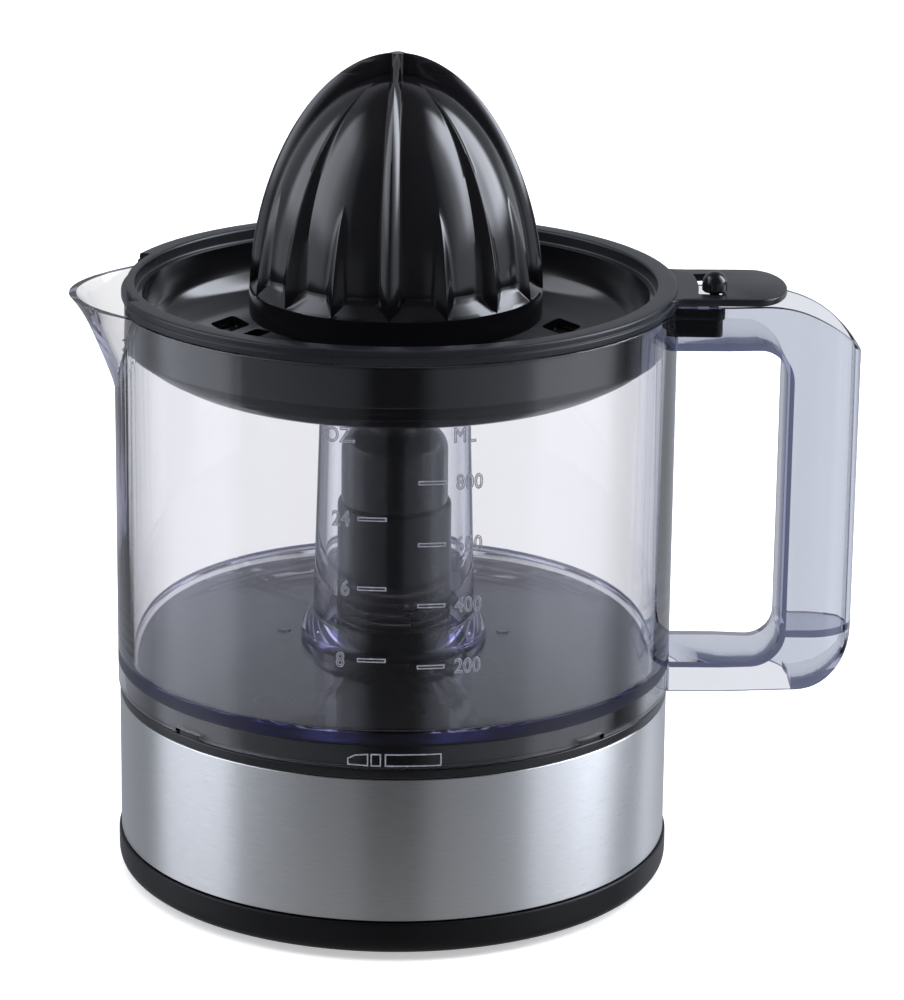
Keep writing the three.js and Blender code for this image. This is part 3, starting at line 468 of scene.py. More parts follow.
# Dark and light tone, roughness from and to, size and depth of the grain in mm, specular level.
PLASTICS = {
    "gloss_black_plastic": ((0.004, 0.004, 0.005), (0.007, 0.007, 0.008), 0.1, 0.16, 0.65, 0.006),
    "satin_black_plastic": ((0.003, 0.003, 0.004), (0.006, 0.006, 0.007), 0.26, 0.34, 0.22, 0.003, 0.4),
    "dull_black_plastic": ((0.002, 0.002, 0.0025), (0.004, 0.004, 0.0045), 0.36, 0.44, 0.35, 0.006, 0.2),
    "rim_black_plastic": ((0.006, 0.007, 0.009), (0.01, 0.011, 0.014), 0.26, 0.34, 0.6, 0.01, 0.3),
    "natural_nylon": ((0.76, 0.73, 0.66), (0.84, 0.81, 0.74), 0.4, 0.55, 0.4, 0.02),
    "black_rubber": ((0.012, 0.012, 0.012), (0.02, 0.02, 0.02), 0.7, 0.85, 0.25, 0.04, 0.3),
    "switch_button": ((0.3, 0.02, 0.015), (0.4, 0.03, 0.02), 0.3, 0.4, 0.4, 0.01),
}
# Dark and light tone, roughness from and to, stretch and waves per metre of the marks.
METALS = {
    "plain_steel": ((0.5, 0.51, 0.53), (0.66, 0.67, 0.69), 0.2, 0.34, (1, 1, 0.08), 900),
    "pressed_steel": ((0.3, 0.31, 0.33), (0.44, 0.45, 0.47), 0.4, 0.55, (0.2, 1, 1), 500),
    "bearing_brass": ((0.55, 0.4, 0.16), (0.72, 0.56, 0.27), 0.25, 0.4, (1, 1, 0.2), 700),
    "coil_winding": ((0.42, 0.17, 0.07), (0.62, 0.3, 0.14), 0.3, 0.45, (0.05, 0.05, 1), 4000),
}
# Tint of the surface and of the depth, absorption per metre, roughness.
CLEARS = {
    "clear_jug_plastic": ((0.985, 0.987, 1.0), (0.72, 0.705, 0.82), 55),
    # painted shade: the jug's clear plastic with a darker surface tint and denser absorption, so the hollow
    # handle shows its shaded grey
    "clear_handle_plastic": ((0.865, 0.885, 0.93), (0.74, 0.75, 0.83), 190),
    # painted shade: the jug's clear plastic with a dark indigo surface tint and frosting, for the band round
    # the floor's edge
    "floor_edge_plastic": ((0.06, 0.065, 0.16), (0.72, 0.705, 0.82), 55, 0.35),
}
MATERIALS = {"brushed_band": brushed_band("brushed_band"), "scale_edge_painted_light": relief_painted_light("scale_edge_painted_light")}
for recipe, looks in ((plastic, PLASTICS), (metal, METALS), (clear_plastic, CLEARS)):
    MATERIALS.update({name: recipe(name, *look) for name, look in looks.items()})


def finish_cad_nodes():
    """Every CAD node gets its slot's material."""
    for part in frame["record"]["subparts"]:
        materials = frame["nodes"][part["node"]].data.materials
        materials.clear()
        materials.append(MATERIALS[part["material_slot"]])


# ---- base ----

def sector(inner, outer, start, end, low, high):
    """A piece of a ring between two angles in degrees."""
    steps = max(2, int(abs(end - start) * TURNS / 360))
    outline = arc((0, 0), outer, start, end, steps) + arc((0, 0), inner, end, start, steps)
    return prism(outline, low, high)


def make_band():
    inner, low, high = BAND_RADIUS - 0.6, band_low.z, band_high.z
    profile = rounded([(inner, low), (BAND_RADIUS, low, 0.3), (BAND_RADIUS, high, 0.3), (inner, high)])
    placed(turned(profile), "steel_band_skin", "base", "steel_band", "brushed_band")


def make_housing():
    """Wall behind the band, trim ring, raised deck and lower tower in one moulding."""
    ring_top, plateau, deck = DECK["ring_top"], DECK["plateau"], DECK["top"]
    outer, step, under = BAND_RADIUS - 1, band_high.z + 0.15, deck - 2.4
    inner, tower_inner = outer - DECK["wall"], TOWER["radius"] - 2
    profile = rounded([
        (inner, housing_low.z), (outer, housing_low.z), (outer, step), (BAND_RADIUS, step, 0.3),
        (BAND_RADIUS, ring_top, 0.5), (plateau, ring_top, 0.6), (plateau, deck, 0.8),
        (TOWER["radius"], deck, 1.6), (TOWER["radius"], TOWER["top"], 0.7), (tower_inner, TOWER["top"]),
        (tower_inner, under), (plateau - 2.4, under), (plateau - 2.4, ring_top - 2), (inner, ring_top - 2),
    ])
    lugs = [sector(DECK["lug_inner"], BAND_RADIUS - 0.2, angle - 3, angle + 3, ring_top - 1, LUG_TOP)
            for angle in LUG_ANGLES]
    housing = joined(turned(profile), *[softened(lug, 0.3) for lug in lugs])
    placed(housing, "base_shell", "base", "base_housing", "satin_black_plastic")


def make_tower_cap():
    """A tube with an arc for its shoulder and a collar round the shaft's bore."""
    radius, high, shoulder = TOWER["cap_radius"], cap_high.z, TOWER["shoulder"]
    low, ledge = TOWER["top"] + 0.3, high - TOWER["collar"]
    bore, collar, spigot = 5.8, 7.4, TOWER["radius"] - 2.3
    profile = rounded([
        (spigot - 1.6, cap_low.z), (spigot, cap_low.z), (spigot, low), (radius, low, 0.4),
        *arc((radius - shoulder, ledge - shoulder), shoulder, 0, 90, 12), (collar, ledge),
        (collar, high, 0.5), (bore, high, 0.5), (bore, high - 9), (spigot - 1.6, high - 9),
    ], steps=10)
    placed(turned(profile, 96), "tower_cap_shell", "base", "tower_cap", "satin_black_plastic",
           "gloss_black_plastic")


def middles(name):
    """Centres of the four numbered CAD nodes of that name."""
    return [sum(span(f"{name}_{k + 1}"), Vector()) / 2 for k in range(4)]


def make_cover():
    """Underside tray with a wide lip, a rounded heel, seats for the feet and screw wells."""
    low, high, radius, rim, inner = cover_low.z, cover_high.z, cover_high.x, 10, 64.1
    profile = rounded([
        (0, low), (radius, low, 3.4), (radius, rim, 0.6), (inner, rim, 0.3), (inner, high),
        (inner - 1.8, high), (inner - 1.8, low + 2.4), (0, low + 2.4),
    ], steps=8)
    wells = [shifted(cylinder(7.3, -1, 3.2, 48), spot.x, spot.y, 0) for spot in middles("foot")]
    wells += [shifted(cylinder(3.4, -1, 6.6, 40), spot.x, spot.y, 0) for spot in middles("cover_screw")]
    bush_low, bush_high = span("inlet_bush")
    inlet = shifted(moved(cylinder(3.3, -8, 8, 48), STAND_UP), 0, radius, (bush_low.z + bush_high.z) / 2)
    placed(cut(turned(profile), *wells, inlet), "underside_cover", "base", "base_cover",
           "satin_black_plastic", "dull_black_plastic")


def make_feet():
    radius, high = 7, span("foot_1")[1].z
    profile = rounded([(0, 0.3), (3.5, 0.3, 0.3), (4.2, 0, 0.3), (radius, 0, 0.9), (radius, high), (0, high)])
    for k, spot in enumerate(middles("foot")):
        foot = shifted(turned(profile, 48), spot.x, spot.y, 0)
        placed(foot, f"foot_pad_{k + 1}", "base", f"foot_{k + 1}", "black_rubber")


def make_inlet():
    """Lipped bush in the back of the base, drawn upright and then laid down."""
    low, high = span("inlet_bush")
    bore, neck, outer, depth = 2.6, 3.1, (high.x - low.x) / 2, high.y - low.y
    profile = rounded([(bore, 0), (outer, 0, 0.3), (outer, 0.9), (neck, 1.2), (neck, depth, 0.5),
                       (bore, depth, 0.3)])
    gland = turned_by(moved(turned(profile, 64), Matrix.Rotation(-math.pi / 2, 4, "X")), 180)
    shifted(gland, 0, high.y, (low.z + high.z) / 2)
    placed(gland, "inlet_gland", "base", "inlet_bush", "black_rubber")


def make_shaft():
    """Square below and at the tip, round in the tower, with the collar that the cone stands on."""
    half, radius, collar, low, high = 3.15, 4.5, 6, 115.9, 117.7
    stem = turned([(0, 46), (radius, 46), (radius, low), (collar - 0.4, low), (collar, low + 0.4),
                   (collar, high - 0.4), (collar - 0.4, high), (0, high)], 64)
    square = [softened(block((-half, half), (-half, half), ends), 0.35)
              for ends in ((shaft_low.z, 47), (high - 1, shaft_high.z))]
    placed(joined(stem, *square), "spindle", "spindle", "drive_shaft", "plain_steel")


# ---- jug ----

def spout_solid(inset, above):
    """The wall circle pushed out by a smooth bump that narrows and fades downwards."""
    rings = []
    rows, columns = 14, 28
    for row in range(rows + 1):
        share = row / rows
        z = SPOUT["bottom"] + inset + (JUG["top"] - SPOUT["bottom"] - inset) * share
        reach = SPOUT["reach"] * (0.82 * share + 0.18 * share ** 6)
        half = SPOUT["half_angle"] * (0.25 + 0.75 * share ** 0.8)
        points = []
        for k in range(columns + 1):
            across = 2 * k / columns - 1
            bump = (math.cos(math.pi * across) + 1) / 2 * 0.35 + (1 - across ** 2) * 0.65
            points.append((*polar(JUG_RADIUS - inset + reach * bump, 180 + half * across), z))
        points.append((-50, 0, z))
        rings.append(points)
    if above:
        rings.append([(x, y, z + above) for x, y, z in rings[-1]])
    return stitched(rings)


def handle_outline(start):
    """From the side: a level lip that falls on an arc to the outer corner, and a round heel."""
    h = HANDLE
    corner = h["top"] - h["drop"]
    level = h["end"] - h["bend"] * math.sin(math.acos((h["bend"] - h["drop"]) / h["bend"]))
    low_angle = math.degrees(math.atan2(h["bend"] - h["drop"], h["end"] - level))
    outline = [(start, h["under"])]
    outline += arc((h["end"] - h["heel"], h["under"] + h["heel"]), h["heel"], -90, 0, 20)
    outline += [(h["end"], corner)]
    outline += arc((level, h["top"] - h["bend"]), h["bend"], low_angle, 90, 20)[1:]
    return outline + [(start, h["top"])]


def handle_plan(inset, start):
    """Seen from above: a wider root at the jug, straight sides along the grip and a round outer face."""
    h = HANDLE
    half, root, end = h["half"] - inset, h["root_half"] - inset, h["end"] - inset
    nose = half * 1.15
    near = rounded([(start, -root), (h["flare_from"], -root, 12), (h["flare_to"], -half, 12),
                    (end - nose, -half)])
    far = [(x, -y) for x, y in reversed(near)]
    return near + arc((end - nose, 0), (nose, half), -90, 90, 28)[1:-1] + far


def finger_gap(grow, start=40):
    h = HANDLE
    low, high, right = h["gap_low"] - grow, h["gap_high"] + grow, h["inner"] + grow
    corner = h["corner"] + 2 * grow
    return ([(start, low)] + arc((right - corner, low + corner), corner, -90, 0, 12)
            + arc((right - corner, high - corner), corner, 0, 90, 12) + [(start, high)])


def handle_solid():
    body = common(sideways(handle_outline(60), HANDLE["root_half"] + 1), prism(handle_plan(0, 60), 40, 150))
    return softened(cut(body, sideways(finger_gap(0), 20)), 0.7)


def handle_hollow():
    """Space in the top arm and grip, open upwards, and in the bottom arm and heel, open downwards."""
    h = HANDLE
    start = JUG_RADIUS - 0.4
    above_seam = block((0, 130), (-20, 20), (h["seam"], 160))
    upper = common(prism(handle_plan(h["wall"], start), 40, 160), above_seam)
    inner = sideways(finger_gap(h["wall"], 0), 30)
    below_arm = block((0, h["inner"] - h["corner"]), (-20, 20), (0, h["gap_high"] + h["wall"]))
    heel_x, heel_z = h["end"] - h["heel"], h["under"] + h["heel"]
    under_gap = h["gap_low"] - h["wall"]
    bend = h["corner"] + h["wall"]
    outline = [(start, 30), (heel_x, 30), *arc((heel_x, heel_z), h["heel"] - h["wall"], -90, -8, 14),
               *arc((h["inner"] - h["corner"], under_gap + bend), bend, -8, -90, 14), (start, under_gap)]
    lower = common(sideways(outline, 20), prism(handle_plan(h["wall"], start), 20, h["seam"] - h["wall"]))
    return joined(cut(upper, inner, below_arm), lower)


def tube_outside():
    t = TUBE
    profile = rounded([
        (0, JUG["floor_under"]), (t["flare"], JUG["floor_under"]), (t["flare"], JUG["floor_top"], 0.1),
        (t["flare"] + 0.2, t["flare_z"], 2.5), (t["low"] + 0.2, t["neck_z"], 2.5), (t["high"], t["top"], 0.6),
        (0, t["top"]),
    ], steps=8)
    return turned(profile, 128)


def tube_inside():
    low, high, top = TUBE["low"] - TUBE["wall"], TUBE["high"] - TUBE["wall"], TUBE["top"] + 2
    return turned([(0, 40), (low, 40), (high, top), (0, top)], 128)


def wrapped(bm, radius):
    """Bends a mesh drawn flat, x across, y up and z out, round the front of a wall of that radius."""
    for vertex in bm.verts:
        x, y, z = vertex.co
        vertex.co = (*polar(radius + z, -90 + math.degrees(x / radius)), y)


def tube_mesh(curve, scale):
    """Mesh of a flat curve drawn as a round wire, made larger without a thicker wire."""
    curve.bevel_depth = RELIEF_RADIUS / scale
    curve.bevel_resolution = 2
    curve.resolution_u = 4
    curve.fill_mode = "NONE"
    source = new_object("outline", curve)
    bm = bmesh.new()
    bm.from_mesh(evaluated_mesh(source))
    bpy.data.objects.remove(source)
    bmesh.ops.scale(bm, vec=(scale, scale, scale), verts=bm.verts)
    return bm


def lettering(text, middle, z):
    """Raised outlines of characters, centred at an angle and a height."""
    curve = bpy.data.curves.new("lettering", "FONT")
    curve.body = text
    curve.align_x = "CENTER"
    curve.space_character = 1.05
    bm = tube_mesh(curve, DIGIT_HEIGHT / 0.7)
    bmesh.ops.scale(bm, vec=(0.82, 1, 1), verts=bm.verts)
    across = math.radians(middle + 90) * JUG_RADIUS
    bmesh.ops.translate(bm, vec=(across, z - DIGIT_HEIGHT / 2, 0), verts=bm.verts)
    return bm


def closed_outline(points):
    """Raised outline through points given as (angle, height)."""
    curve = bpy.data.curves.new("outline", "CURVE")
    curve.dimensions = "2D"
    line = curve.splines.new("POLY")
    line.points.add(len(points) - 1)
    for point, (angle, z) in zip(line.points, points):
        point.co = (math.radians(angle + 90) * JUG_RADIUS, z, 0, 1)
    line.use_cyclic_u = True
    return tube_mesh(curve, 1.0)


def box_outline(start, end, low, high):
    """Raised outline of a bar, with points close enough to follow the wall."""
    steps = max(2, round(abs(end - start)))
    angles = [start + (end - start) * k / steps for k in range(steps + 1)]
    return closed_outline([(angle, low) for angle in angles] + [(angle, high) for angle in reversed(angles)])


def make_scale():
    """The moulded scale on the front, millilitres right and ounces left, and the mark on the skirt."""
    marks = []
    for heading, scale in SCALES.items():
        marks.append(lettering(heading, scale["heading"], HEADING_Z))
        for text, z in scale["ticks"].items():
            marks.append(box_outline(*scale["ends"], z - TICK_HEIGHT / 2, z + TICK_HEIGHT / 2))
            marks.append(lettering(text, scale["text"], z))
    low, high = 49.6, 52.4
    marks.append(box_outline(-91.4, -80.5, low, high))
    marks.append(box_outline(-94.2, -92.4, low, high))
    marks.append(closed_outline([(-98.8, low + 0.2), (-94.9, low), (-94.9, high), (-97.4, high - 0.3),
                                 (-98.8, low + 1.6)]))
    whole = bmesh.new()
    for mark in marks:
        wrapped(mark, JUG_RADIUS + RELIEF_RADIUS + 0.03)
        mesh = bpy.data.meshes.new("mark")
        mark.to_mesh(mesh)
        mark.free()
        whole.from_mesh(mesh)
    # painted light and shade: the scale's raised edges are grey where the real ones are clear
    placed(solid_from(whole), "jug_scale", "jug_body", "jug", "clear_jug_plastic", "scale_edge_painted_light", 60)


def floor_dots():
    """Two small round marks on the floor, one on each side of the tube."""
    radius, low, high = 1.7, JUG["floor_top"] - 0.5, JUG["floor_top"] + 0.5
    profile = rounded([(0, low), (radius, low), (radius, high, 0.2), (0, high)])
    return [shifted(turned(profile, 40), side * 27.3, 0, 0) for side in (-1, 1)]


def split_level(solid, *heights):
    """Cuts faces in two where they cross one of the heights."""
    bm = bmesh.new()
    bm.from_mesh(solid.data)
    for z in heights:
        whole = [*bm.verts, *bm.edges, *bm.faces]
        bmesh.ops.bisect_plane(bm, geom=whole, plane_co=(0, 0, z), plane_no=(0, 0, 1))
    bm.to_mesh(solid.data)
    bm.free()


def make_jug():
    """Wall with the spout, floor, skirt and centre tube. The wall round the floor's outer edge has its own
    material, a painted shade: a dark indigo surface tint.
    """
    radius, inner = JUG_RADIUS, JUG_RADIUS - JUG["wall"]
    skirt, under, floor, top = JUG["skirt"], JUG["floor_under"], JUG["floor_top"], JUG["top"]
    outside = turned(rounded([(0, skirt), (radius, skirt, 0.4), (radius, top, 0.4), (0, top)]))
    inside = turned(rounded([(0, floor), (inner, floor, 0.6), (inner, top + 10), (0, top + 10)]))
    below = turned(rounded([(0, skirt - 5), (inner, skirt - 5), (inner, under, 0.4), (0, under)]))
    jug = joined(outside, spout_solid(0, 0))
    cut(jug, joined(inside, spout_solid(SPOUT["wall"], 10)), below)
    joined(jug, tube_outside())
    notch = block((55, radius + 2), (-10.2, 10.2), (137, top + 5))
    lug_slots = [sector(64, 70, angle - 3.5, angle + 3.5, skirt - 5, LUG_TOP + 0.3) for angle in LUG_ANGLES]
    cut(jug, notch, tube_inside(), *lug_slots)
    joined(jug, *floor_dots())
    split_level(jug, under, floor)
    placed(jug, "clear_jug", "jug_body", "jug", "clear_jug_plastic", sharp=28)
    # painted shade: the wall round the floor's edge gets a dark indigo tint for the tinted shade that light
    # takes on through the floor
    repainted(jug, "floor_edge_plastic", lambda out, z: under < z < floor and out > radius - 0.1)


def make_handle():
    """The handle as its own piece, from just off the jug's wall."""
    handle = cut(handle_solid(), handle_hollow(), cylinder(JUG_RADIUS + 0.03, 30, 160))
    # painted shade: the handle gets a darker copy of the jug's clear plastic
    placed(handle, "clear_handle", "jug_body", "jug", "clear_jug_plastic", "clear_handle_plastic", 28)


# ---- strainer and pulp control ----

def bowl_curve(below=0.0):
    """The bowl's upper face from the ledge to its flat floor, or the same line some way under it."""
    curve = rounded(BOWL, steps=6)
    line = []
    for i, (radius, z) in enumerate(curve):
        (r0, z0), (r1, z1) = curve[max(i - 1, 0)], curve[min(i + 1, len(curve) - 1)]
        length = math.hypot(r1 - r0, z1 - z0)
        line.append((radius - below * (z1 - z0) / length, z + below * (r1 - r0) / length))
    return line


def bowl_slots(low, high, turn=0.0):
    cuts = []
    for i in range(SLOTS["count"]):
        middle = (i + 0.5) * 360 / SLOTS["count"] + turn
        rows = (SLOTS["outer"],) if i % 2 else (SLOTS["outer"], SLOTS["inner"])
        for near, far in rows:
            across = near * math.tan(math.radians(SLOTS["degrees"] / 2))
            cuts.append(turned_by(block((near, far), (-across, across), (low, high), 1.4), middle))
    return cuts


def tab_outline():
    half, fillet, end, straight = TAB["half"], TAB["fillet"], TAB["end"], TAB["straight"]
    rim_x = math.sqrt(STRAINER["rim"] ** 2 - (half + fillet) ** 2)
    near = rounded([(60, -half - fillet), (rim_x - 1, -half - fillet), (rim_x + 1.6, -half, 9),
                    (straight, -half)], steps=8)
    far = [(x, -y) for x, y in reversed(near)]
    return near + arc((straight, 0), (end - straight, half), -90, 90, 30)[1:-1] + far


def strainer_hub():
    """Sleeve round the jug's tube, the ring round the bowl's floor and the collar round the shaft."""
    inner, outer = TUBE["high"] + 1.2, TUBE["high"] + 2.9
    return turned([
        (9.6, 126), (inner, 126), (inner, 118.4), (outer, 118.4), (outer, 126), (35.4, 126), (35.4, 122),
        (38.6, 122), (37.2, 123.9), (37.2, 128), (13, 128), (13, 135.5), (12.5, 136), (10.1, 136),
        (9.6, 135.5),
    ], 96)


def make_strainer():
    """Bowl with its rim, hub and tab, cut back beside the spout and for the knob. The rim is duller."""
    s = STRAINER
    rim = rounded([
        (63.3, s["seat"]), (s["flange"], s["seat"], 0.3), (s["flange"], 147.4, 0.4), (s["rim"], 147.6, 0.2),
        (s["rim"], s["top"], 0.9), (s["rim_inner"], s["top"], 0.7), (s["rim_inner"], s["ledge"], 0.6),
        (61.2, s["ledge"]),
    ])
    under = list(reversed(bowl_curve(2)))
    body = turned([*rim, *bowl_curve(), (22, 126), *under[1:-1], (63.3, 138)])
    tab = softened(prism(tab_outline(), TAB["top"] - TAB["thickness"], TAB["top"]), 0.5)
    cut(tab, cylinder(63.6, 140, 155))
    strainer = cut(joined(body, strainer_hub()), *bowl_slots(120, 137.5))
    at, reach = KNOB["at"], 1.6 - KNOB["angle"]
    knob_slot = sector(at - 3.8, at + 1.9, -reach, reach, 140, 155)
    first, last = 180 - s["spout_half_angle"], 180 + s["spout_half_angle"]
    beside_spout = [sector(radius, 72, first, last, low, high)
                    for radius, low, high in ((s["spout_rim"], 147, 155), (s["spout_flange"], 140, 148))]
    cut(joined(strainer, tab), knob_slot, *beside_spout)
    placed(strainer, "strainer_bowl", "strainer_body", "strainer", "gloss_black_plastic")
    rim_start, rim_low = s["rim_inner"] - 0.2, s["seat"] - 1
    repainted(strainer, "rim_black_plastic", lambda out, z: out > rim_start and z > rim_low)


def pulp_lever():
    """From the ring through the jug's notch into the handle's channel, in two steps with a rounded end."""
    at, end_radius = KNOB["at"] + 1, 1.7
    plan = [(64.4, -2.5), *arc((at, 0), end_radius, -90, 90, 10), (64.4, 2.5)]
    upper = softened(prism(plan, 141.9, ring_high.z), 0.3)
    lower = prism([(x - 0.5, y) for x, y in plan], 137.8, 142)
    return turned_by(joined(upper, softened(lower, 0.3)), KNOB["angle"])


def make_pulp_ring():
    upper = bowl_curve(2.5)[1:-1]
    lower = list(reversed(bowl_curve(4.4)[1:-1]))
    ring = turned(rounded([
        (63.9, ring_high.z, 0.3), (63.9, 137.3), *upper, (37.9, 125.6), (37.9, 123.9), *lower,
        (64.7, 134, 0.8), (65.5, 135.4, 0.8), (65.5, ring_high.z, 0.3),
    ]))
    hole = shifted(cylinder(1.25, 139, 150, 40), *polar(KNOB["at"], KNOB["angle"]), 0)
    cut(joined(cut(ring, *bowl_slots(118, 137, 11.25)), pulp_lever()), hole)
    placed(ring, "pulp_slide_ring", "pulp_control", "pulp_ring", "gloss_black_plastic")


def make_knob():
    radius, top, seat = KNOB["radius"], knob_high.z, TAB["top"] + 0.3
    profile = [(0, knob_low.z), (1.15, knob_low.z), (1.15, seat), (radius - 0.4, seat), (radius, seat + 0.4)]
    profile += arc((0, top - radius), radius, 0, 90, 14)
    knob = shifted(turned(profile, 64), *polar(KNOB["at"], KNOB["angle"]), 0)
    placed(knob, "pulp_knob_cap", "pulp_control", "pulp_knob", "gloss_black_plastic")


# ---- cones ----

def clamped(share):
    return min(1.0, max(0.0, share))


def dome_radius(z, foot, apex, radius, power=1.75):
    """Radius of a round-nosed cone at a height: blunter than a cone, sharper than a ball."""
    return radius * math.sqrt(1 - clamped((z - foot) / (apex - foot)) ** power)


def rib_shape(kind, z, cone, apex, crest, lobe):
    """Height over the lobe and half-width of a rib at height z."""
    foot = cone["shoulder"]
    full = crest - lobe
    if kind == "primary":
        return full, RIB_WIDTHS[kind] * (1 - 0.45 * clamped((z - foot) / (apex - foot)))
    top = cone[kind + "_top"]
    left = clamped((top - z) / (top - foot))
    if kind == "long":
        return full * (1 - (1 - left) ** 2), RIB_WIDTHS[kind] * left ** 0.7
    return full * left ** 0.55, RIB_WIDTHS[kind] * left ** 0.5


def cone_row(z, cone, apex, kinds, columns=9):
    """The outline of a ribbed cone at one height, rib by rib and lobe by lobe."""
    foot, step = cone["shoulder"], 360 / len(kinds)
    limit = 0.42 * step  # a rib stays inside its own share of the circle
    crest = dome_radius(z, foot, apex, cone["radius"])
    apron = clamped((foot + APRON - z) / APRON)
    dome = dome_radius(max(z, foot + APRON), foot, cone["lobe_apex"], cone["lobe_radius"], 2.0)

    def lobe_at(angle):
        across = (angle - RIB_TURN) % 45 / 45
        bulged = max(dome + cone["bulge"] * 4 * across * (1 - across) * dome / cone["lobe_radius"], 1.7)
        return bulged + (cone["radius"] - bulged) * apron

    def rib_at(i):
        """Radius of the lobe under a rib, and the rib's height, half-width in mm and the same in degrees."""
        lobe = lobe_at(i * step + RIB_TURN)
        height, half = rib_shape(kinds[i % len(kinds)], z, cone, apex, max(crest, lobe), lobe)
        half = max(half * (1 - apron), 0.02)
        return lobe, height, half, min(math.degrees(math.atan2(half, lobe)), limit)

    points = []
    for i, kind in enumerate(kinds):
        middle = i * step + RIB_TURN
        lobe, height, half, edge = rib_at(i)
        side = [(across * half, max(share * height, 0)) for across, share in RIDGE[kind]]
        for across, out in side + [(-x, y) for x, y in reversed(side[:-1])]:
            reach = lobe_at(middle + math.copysign(edge, across)) if out == 0 else lobe + out
            turn = math.degrees(math.atan2(across, math.sqrt(max(reach ** 2 - across ** 2, 0.2))))
            points.append((reach, middle + min(limit, max(-limit, turn))))
        edge_next = rib_at(i + 1)[3]
        for k in range(1, columns):
            angle = middle + edge + (step - edge - edge_next) * k / columns
            points.append((lobe_at(angle), angle))
    return [(*polar(radius, angle), z) for radius, angle in points]


def ribbed_cone(cone, apex, kinds, skirt):
    """A reamer: ridges on an outer dome, lobes on a lower one, a flared foot and a skirt."""
    foot, lobe_apex = cone["shoulder"], cone["lobe_apex"]
    heights = [foot + APRON * k / 5 for k in range(6)]
    heights += [foot + APRON + (lobe_apex - foot - APRON) * (1 - (1 - k / 64) ** 2) for k in range(1, 65)]
    heights += [lobe_apex + (apex - lobe_apex) * (1 - (1 - k / 20) ** 2) for k in range(1, 20)]
    rows = [cone_row(z, cone, apex, kinds) for z in heights]
    below = []
    for radius, z in skirt:
        scale = radius / cone["radius"]
        below.append([(x * scale, y * scale, z) for x, y, _ in rows[0]])
    tip = [(x * 0.02, y * 0.02, apex) for x, y, _ in rows[-1]]
    return stitched([*below, *rows, tip])


def dome_inside(foot, top, radius, low):
    heights = [foot + k / 24 * (top - foot) for k in range(24)]
    dome = [(dome_radius(z, foot, top, radius), z) for z in heights]
    return turned([(0, low - 1), (radius, low - 1), *dome, (0, top)], 96)


def make_large_cone():
    radius, base, shoulder = CONE["radius"], cone_low.z, CONE["shoulder"]
    cone = ribbed_cone(CONE, cone_high.z, ["primary", "short", "long", "short"] * 4,
                       [(radius - 0.4, base), (radius, base + 0.4), (radius, shoulder - 0.3)])
    cut(cone, dome_inside(shoulder, CONE["lobe_apex"] - 3, 29.8, base))
    keys = [turned_by(block((30.8, 34.4), (-2, 2), (base, 147)), k * 90) for k in range(4)]
    joined(cone, *keys)
    placed(cone, "large_reamer", "outer_cone", "large_cone", "gloss_black_plastic", sharp=38)


def make_small_cone():
    foot, base, radius, low = SMALL_CONE["shoulder"], small_low.z, SMALL_CONE["radius"], cone_low.z
    cone = ribbed_cone(SMALL_CONE, small_high.z, ["primary", "long"] * 4,
                       [(radius - 0.4, low), (radius, low + 0.4), (radius, foot - 0.3)])
    cut(cone, dome_inside(foot, SMALL_CONE["lobe_apex"] - 3, 21.4, low))
    stem = turned([(0, base), (7.6, base), (8, base + 0.4), (8, 172), (6, 185.5), (3, 187.5), (0, 187.5)], 64)
    rim = turned(rounded([(24.2, low), (32.4, low, 0.3), (32.4, 142.4, 0.3), (24.2, 142.4)]), 128)
    keyways = [turned_by(block((30.4, 40), (-2.4, 2.4), (130, 150)), k * 90) for k in range(4)]
    joined(cone, stem, cut(rim, *keyways))
    cut(cone, block((-3.5, 3.5), (-3.5, 3.5), (base - 1, 133)), cylinder(3.6, 130, 180, 48))
    placed(cone, "small_reamer", "inner_cone", "small_cone", "gloss_black_plastic", sharp=38)


# ---- stage, light and camera ----

FLOOR_GLOW = 0.45
# Brightness of the studio by azimuth in degrees, 0 towards the front and 90 towards the handle: level with
# the juicer, and at the height of the softboxes.
STUDIO_LOW = ((-180, 0.42), (-150, 0.38), (-118, 0.3), (-108, 0.98), (-74, 1.03), (-65, 0.35), (-16, 0.2),
              (-8, 0.05), (9, 0.05), (18, 0.25), (46, 0.4), (55, 0.48), (62, 1.0), (84, 1.0), (98, 0.74),
              (106, 0.05), (121, 0.22), (131, 1.0), (148, 0.6), (180, 0.42))
STUDIO_HIGH = ((-180, 0.42), (-150, 0.4), (-128, 0.4), (-114, 0.5), (-106, 3.2), (-80, 3.0), (-58, 1.0),
               (-35, 0.05), (20, 0.04), (45, 0.09), (62, 0.9), (78, 2.6), (92, 9.0), (112, 9.0), (120, 0.5),
               (135, 0.4), (155, 0.42), (180, 0.42))
STUDIO_TOP = 0.09
STUDIO_FLOOR = 0.4  # seen by what reflects steeply downwards
STUDIO_PEAK = 10.0
STUDIO_TONE = (0.94, 0.98, 1.08)
THROUGH_SIDE = (0.6, 0.625, 0.74)  # seen through clear plastic away from the backdrop
WHITE = (1.0, 1.0, 1.0)
CAMERA = {"lens": 151.5, "sensor": 36, "shift": (0.0575, 0.0007), "y": -0.9848, "z": 0.3967, "down": 17.13,
          "roll": 0.418}


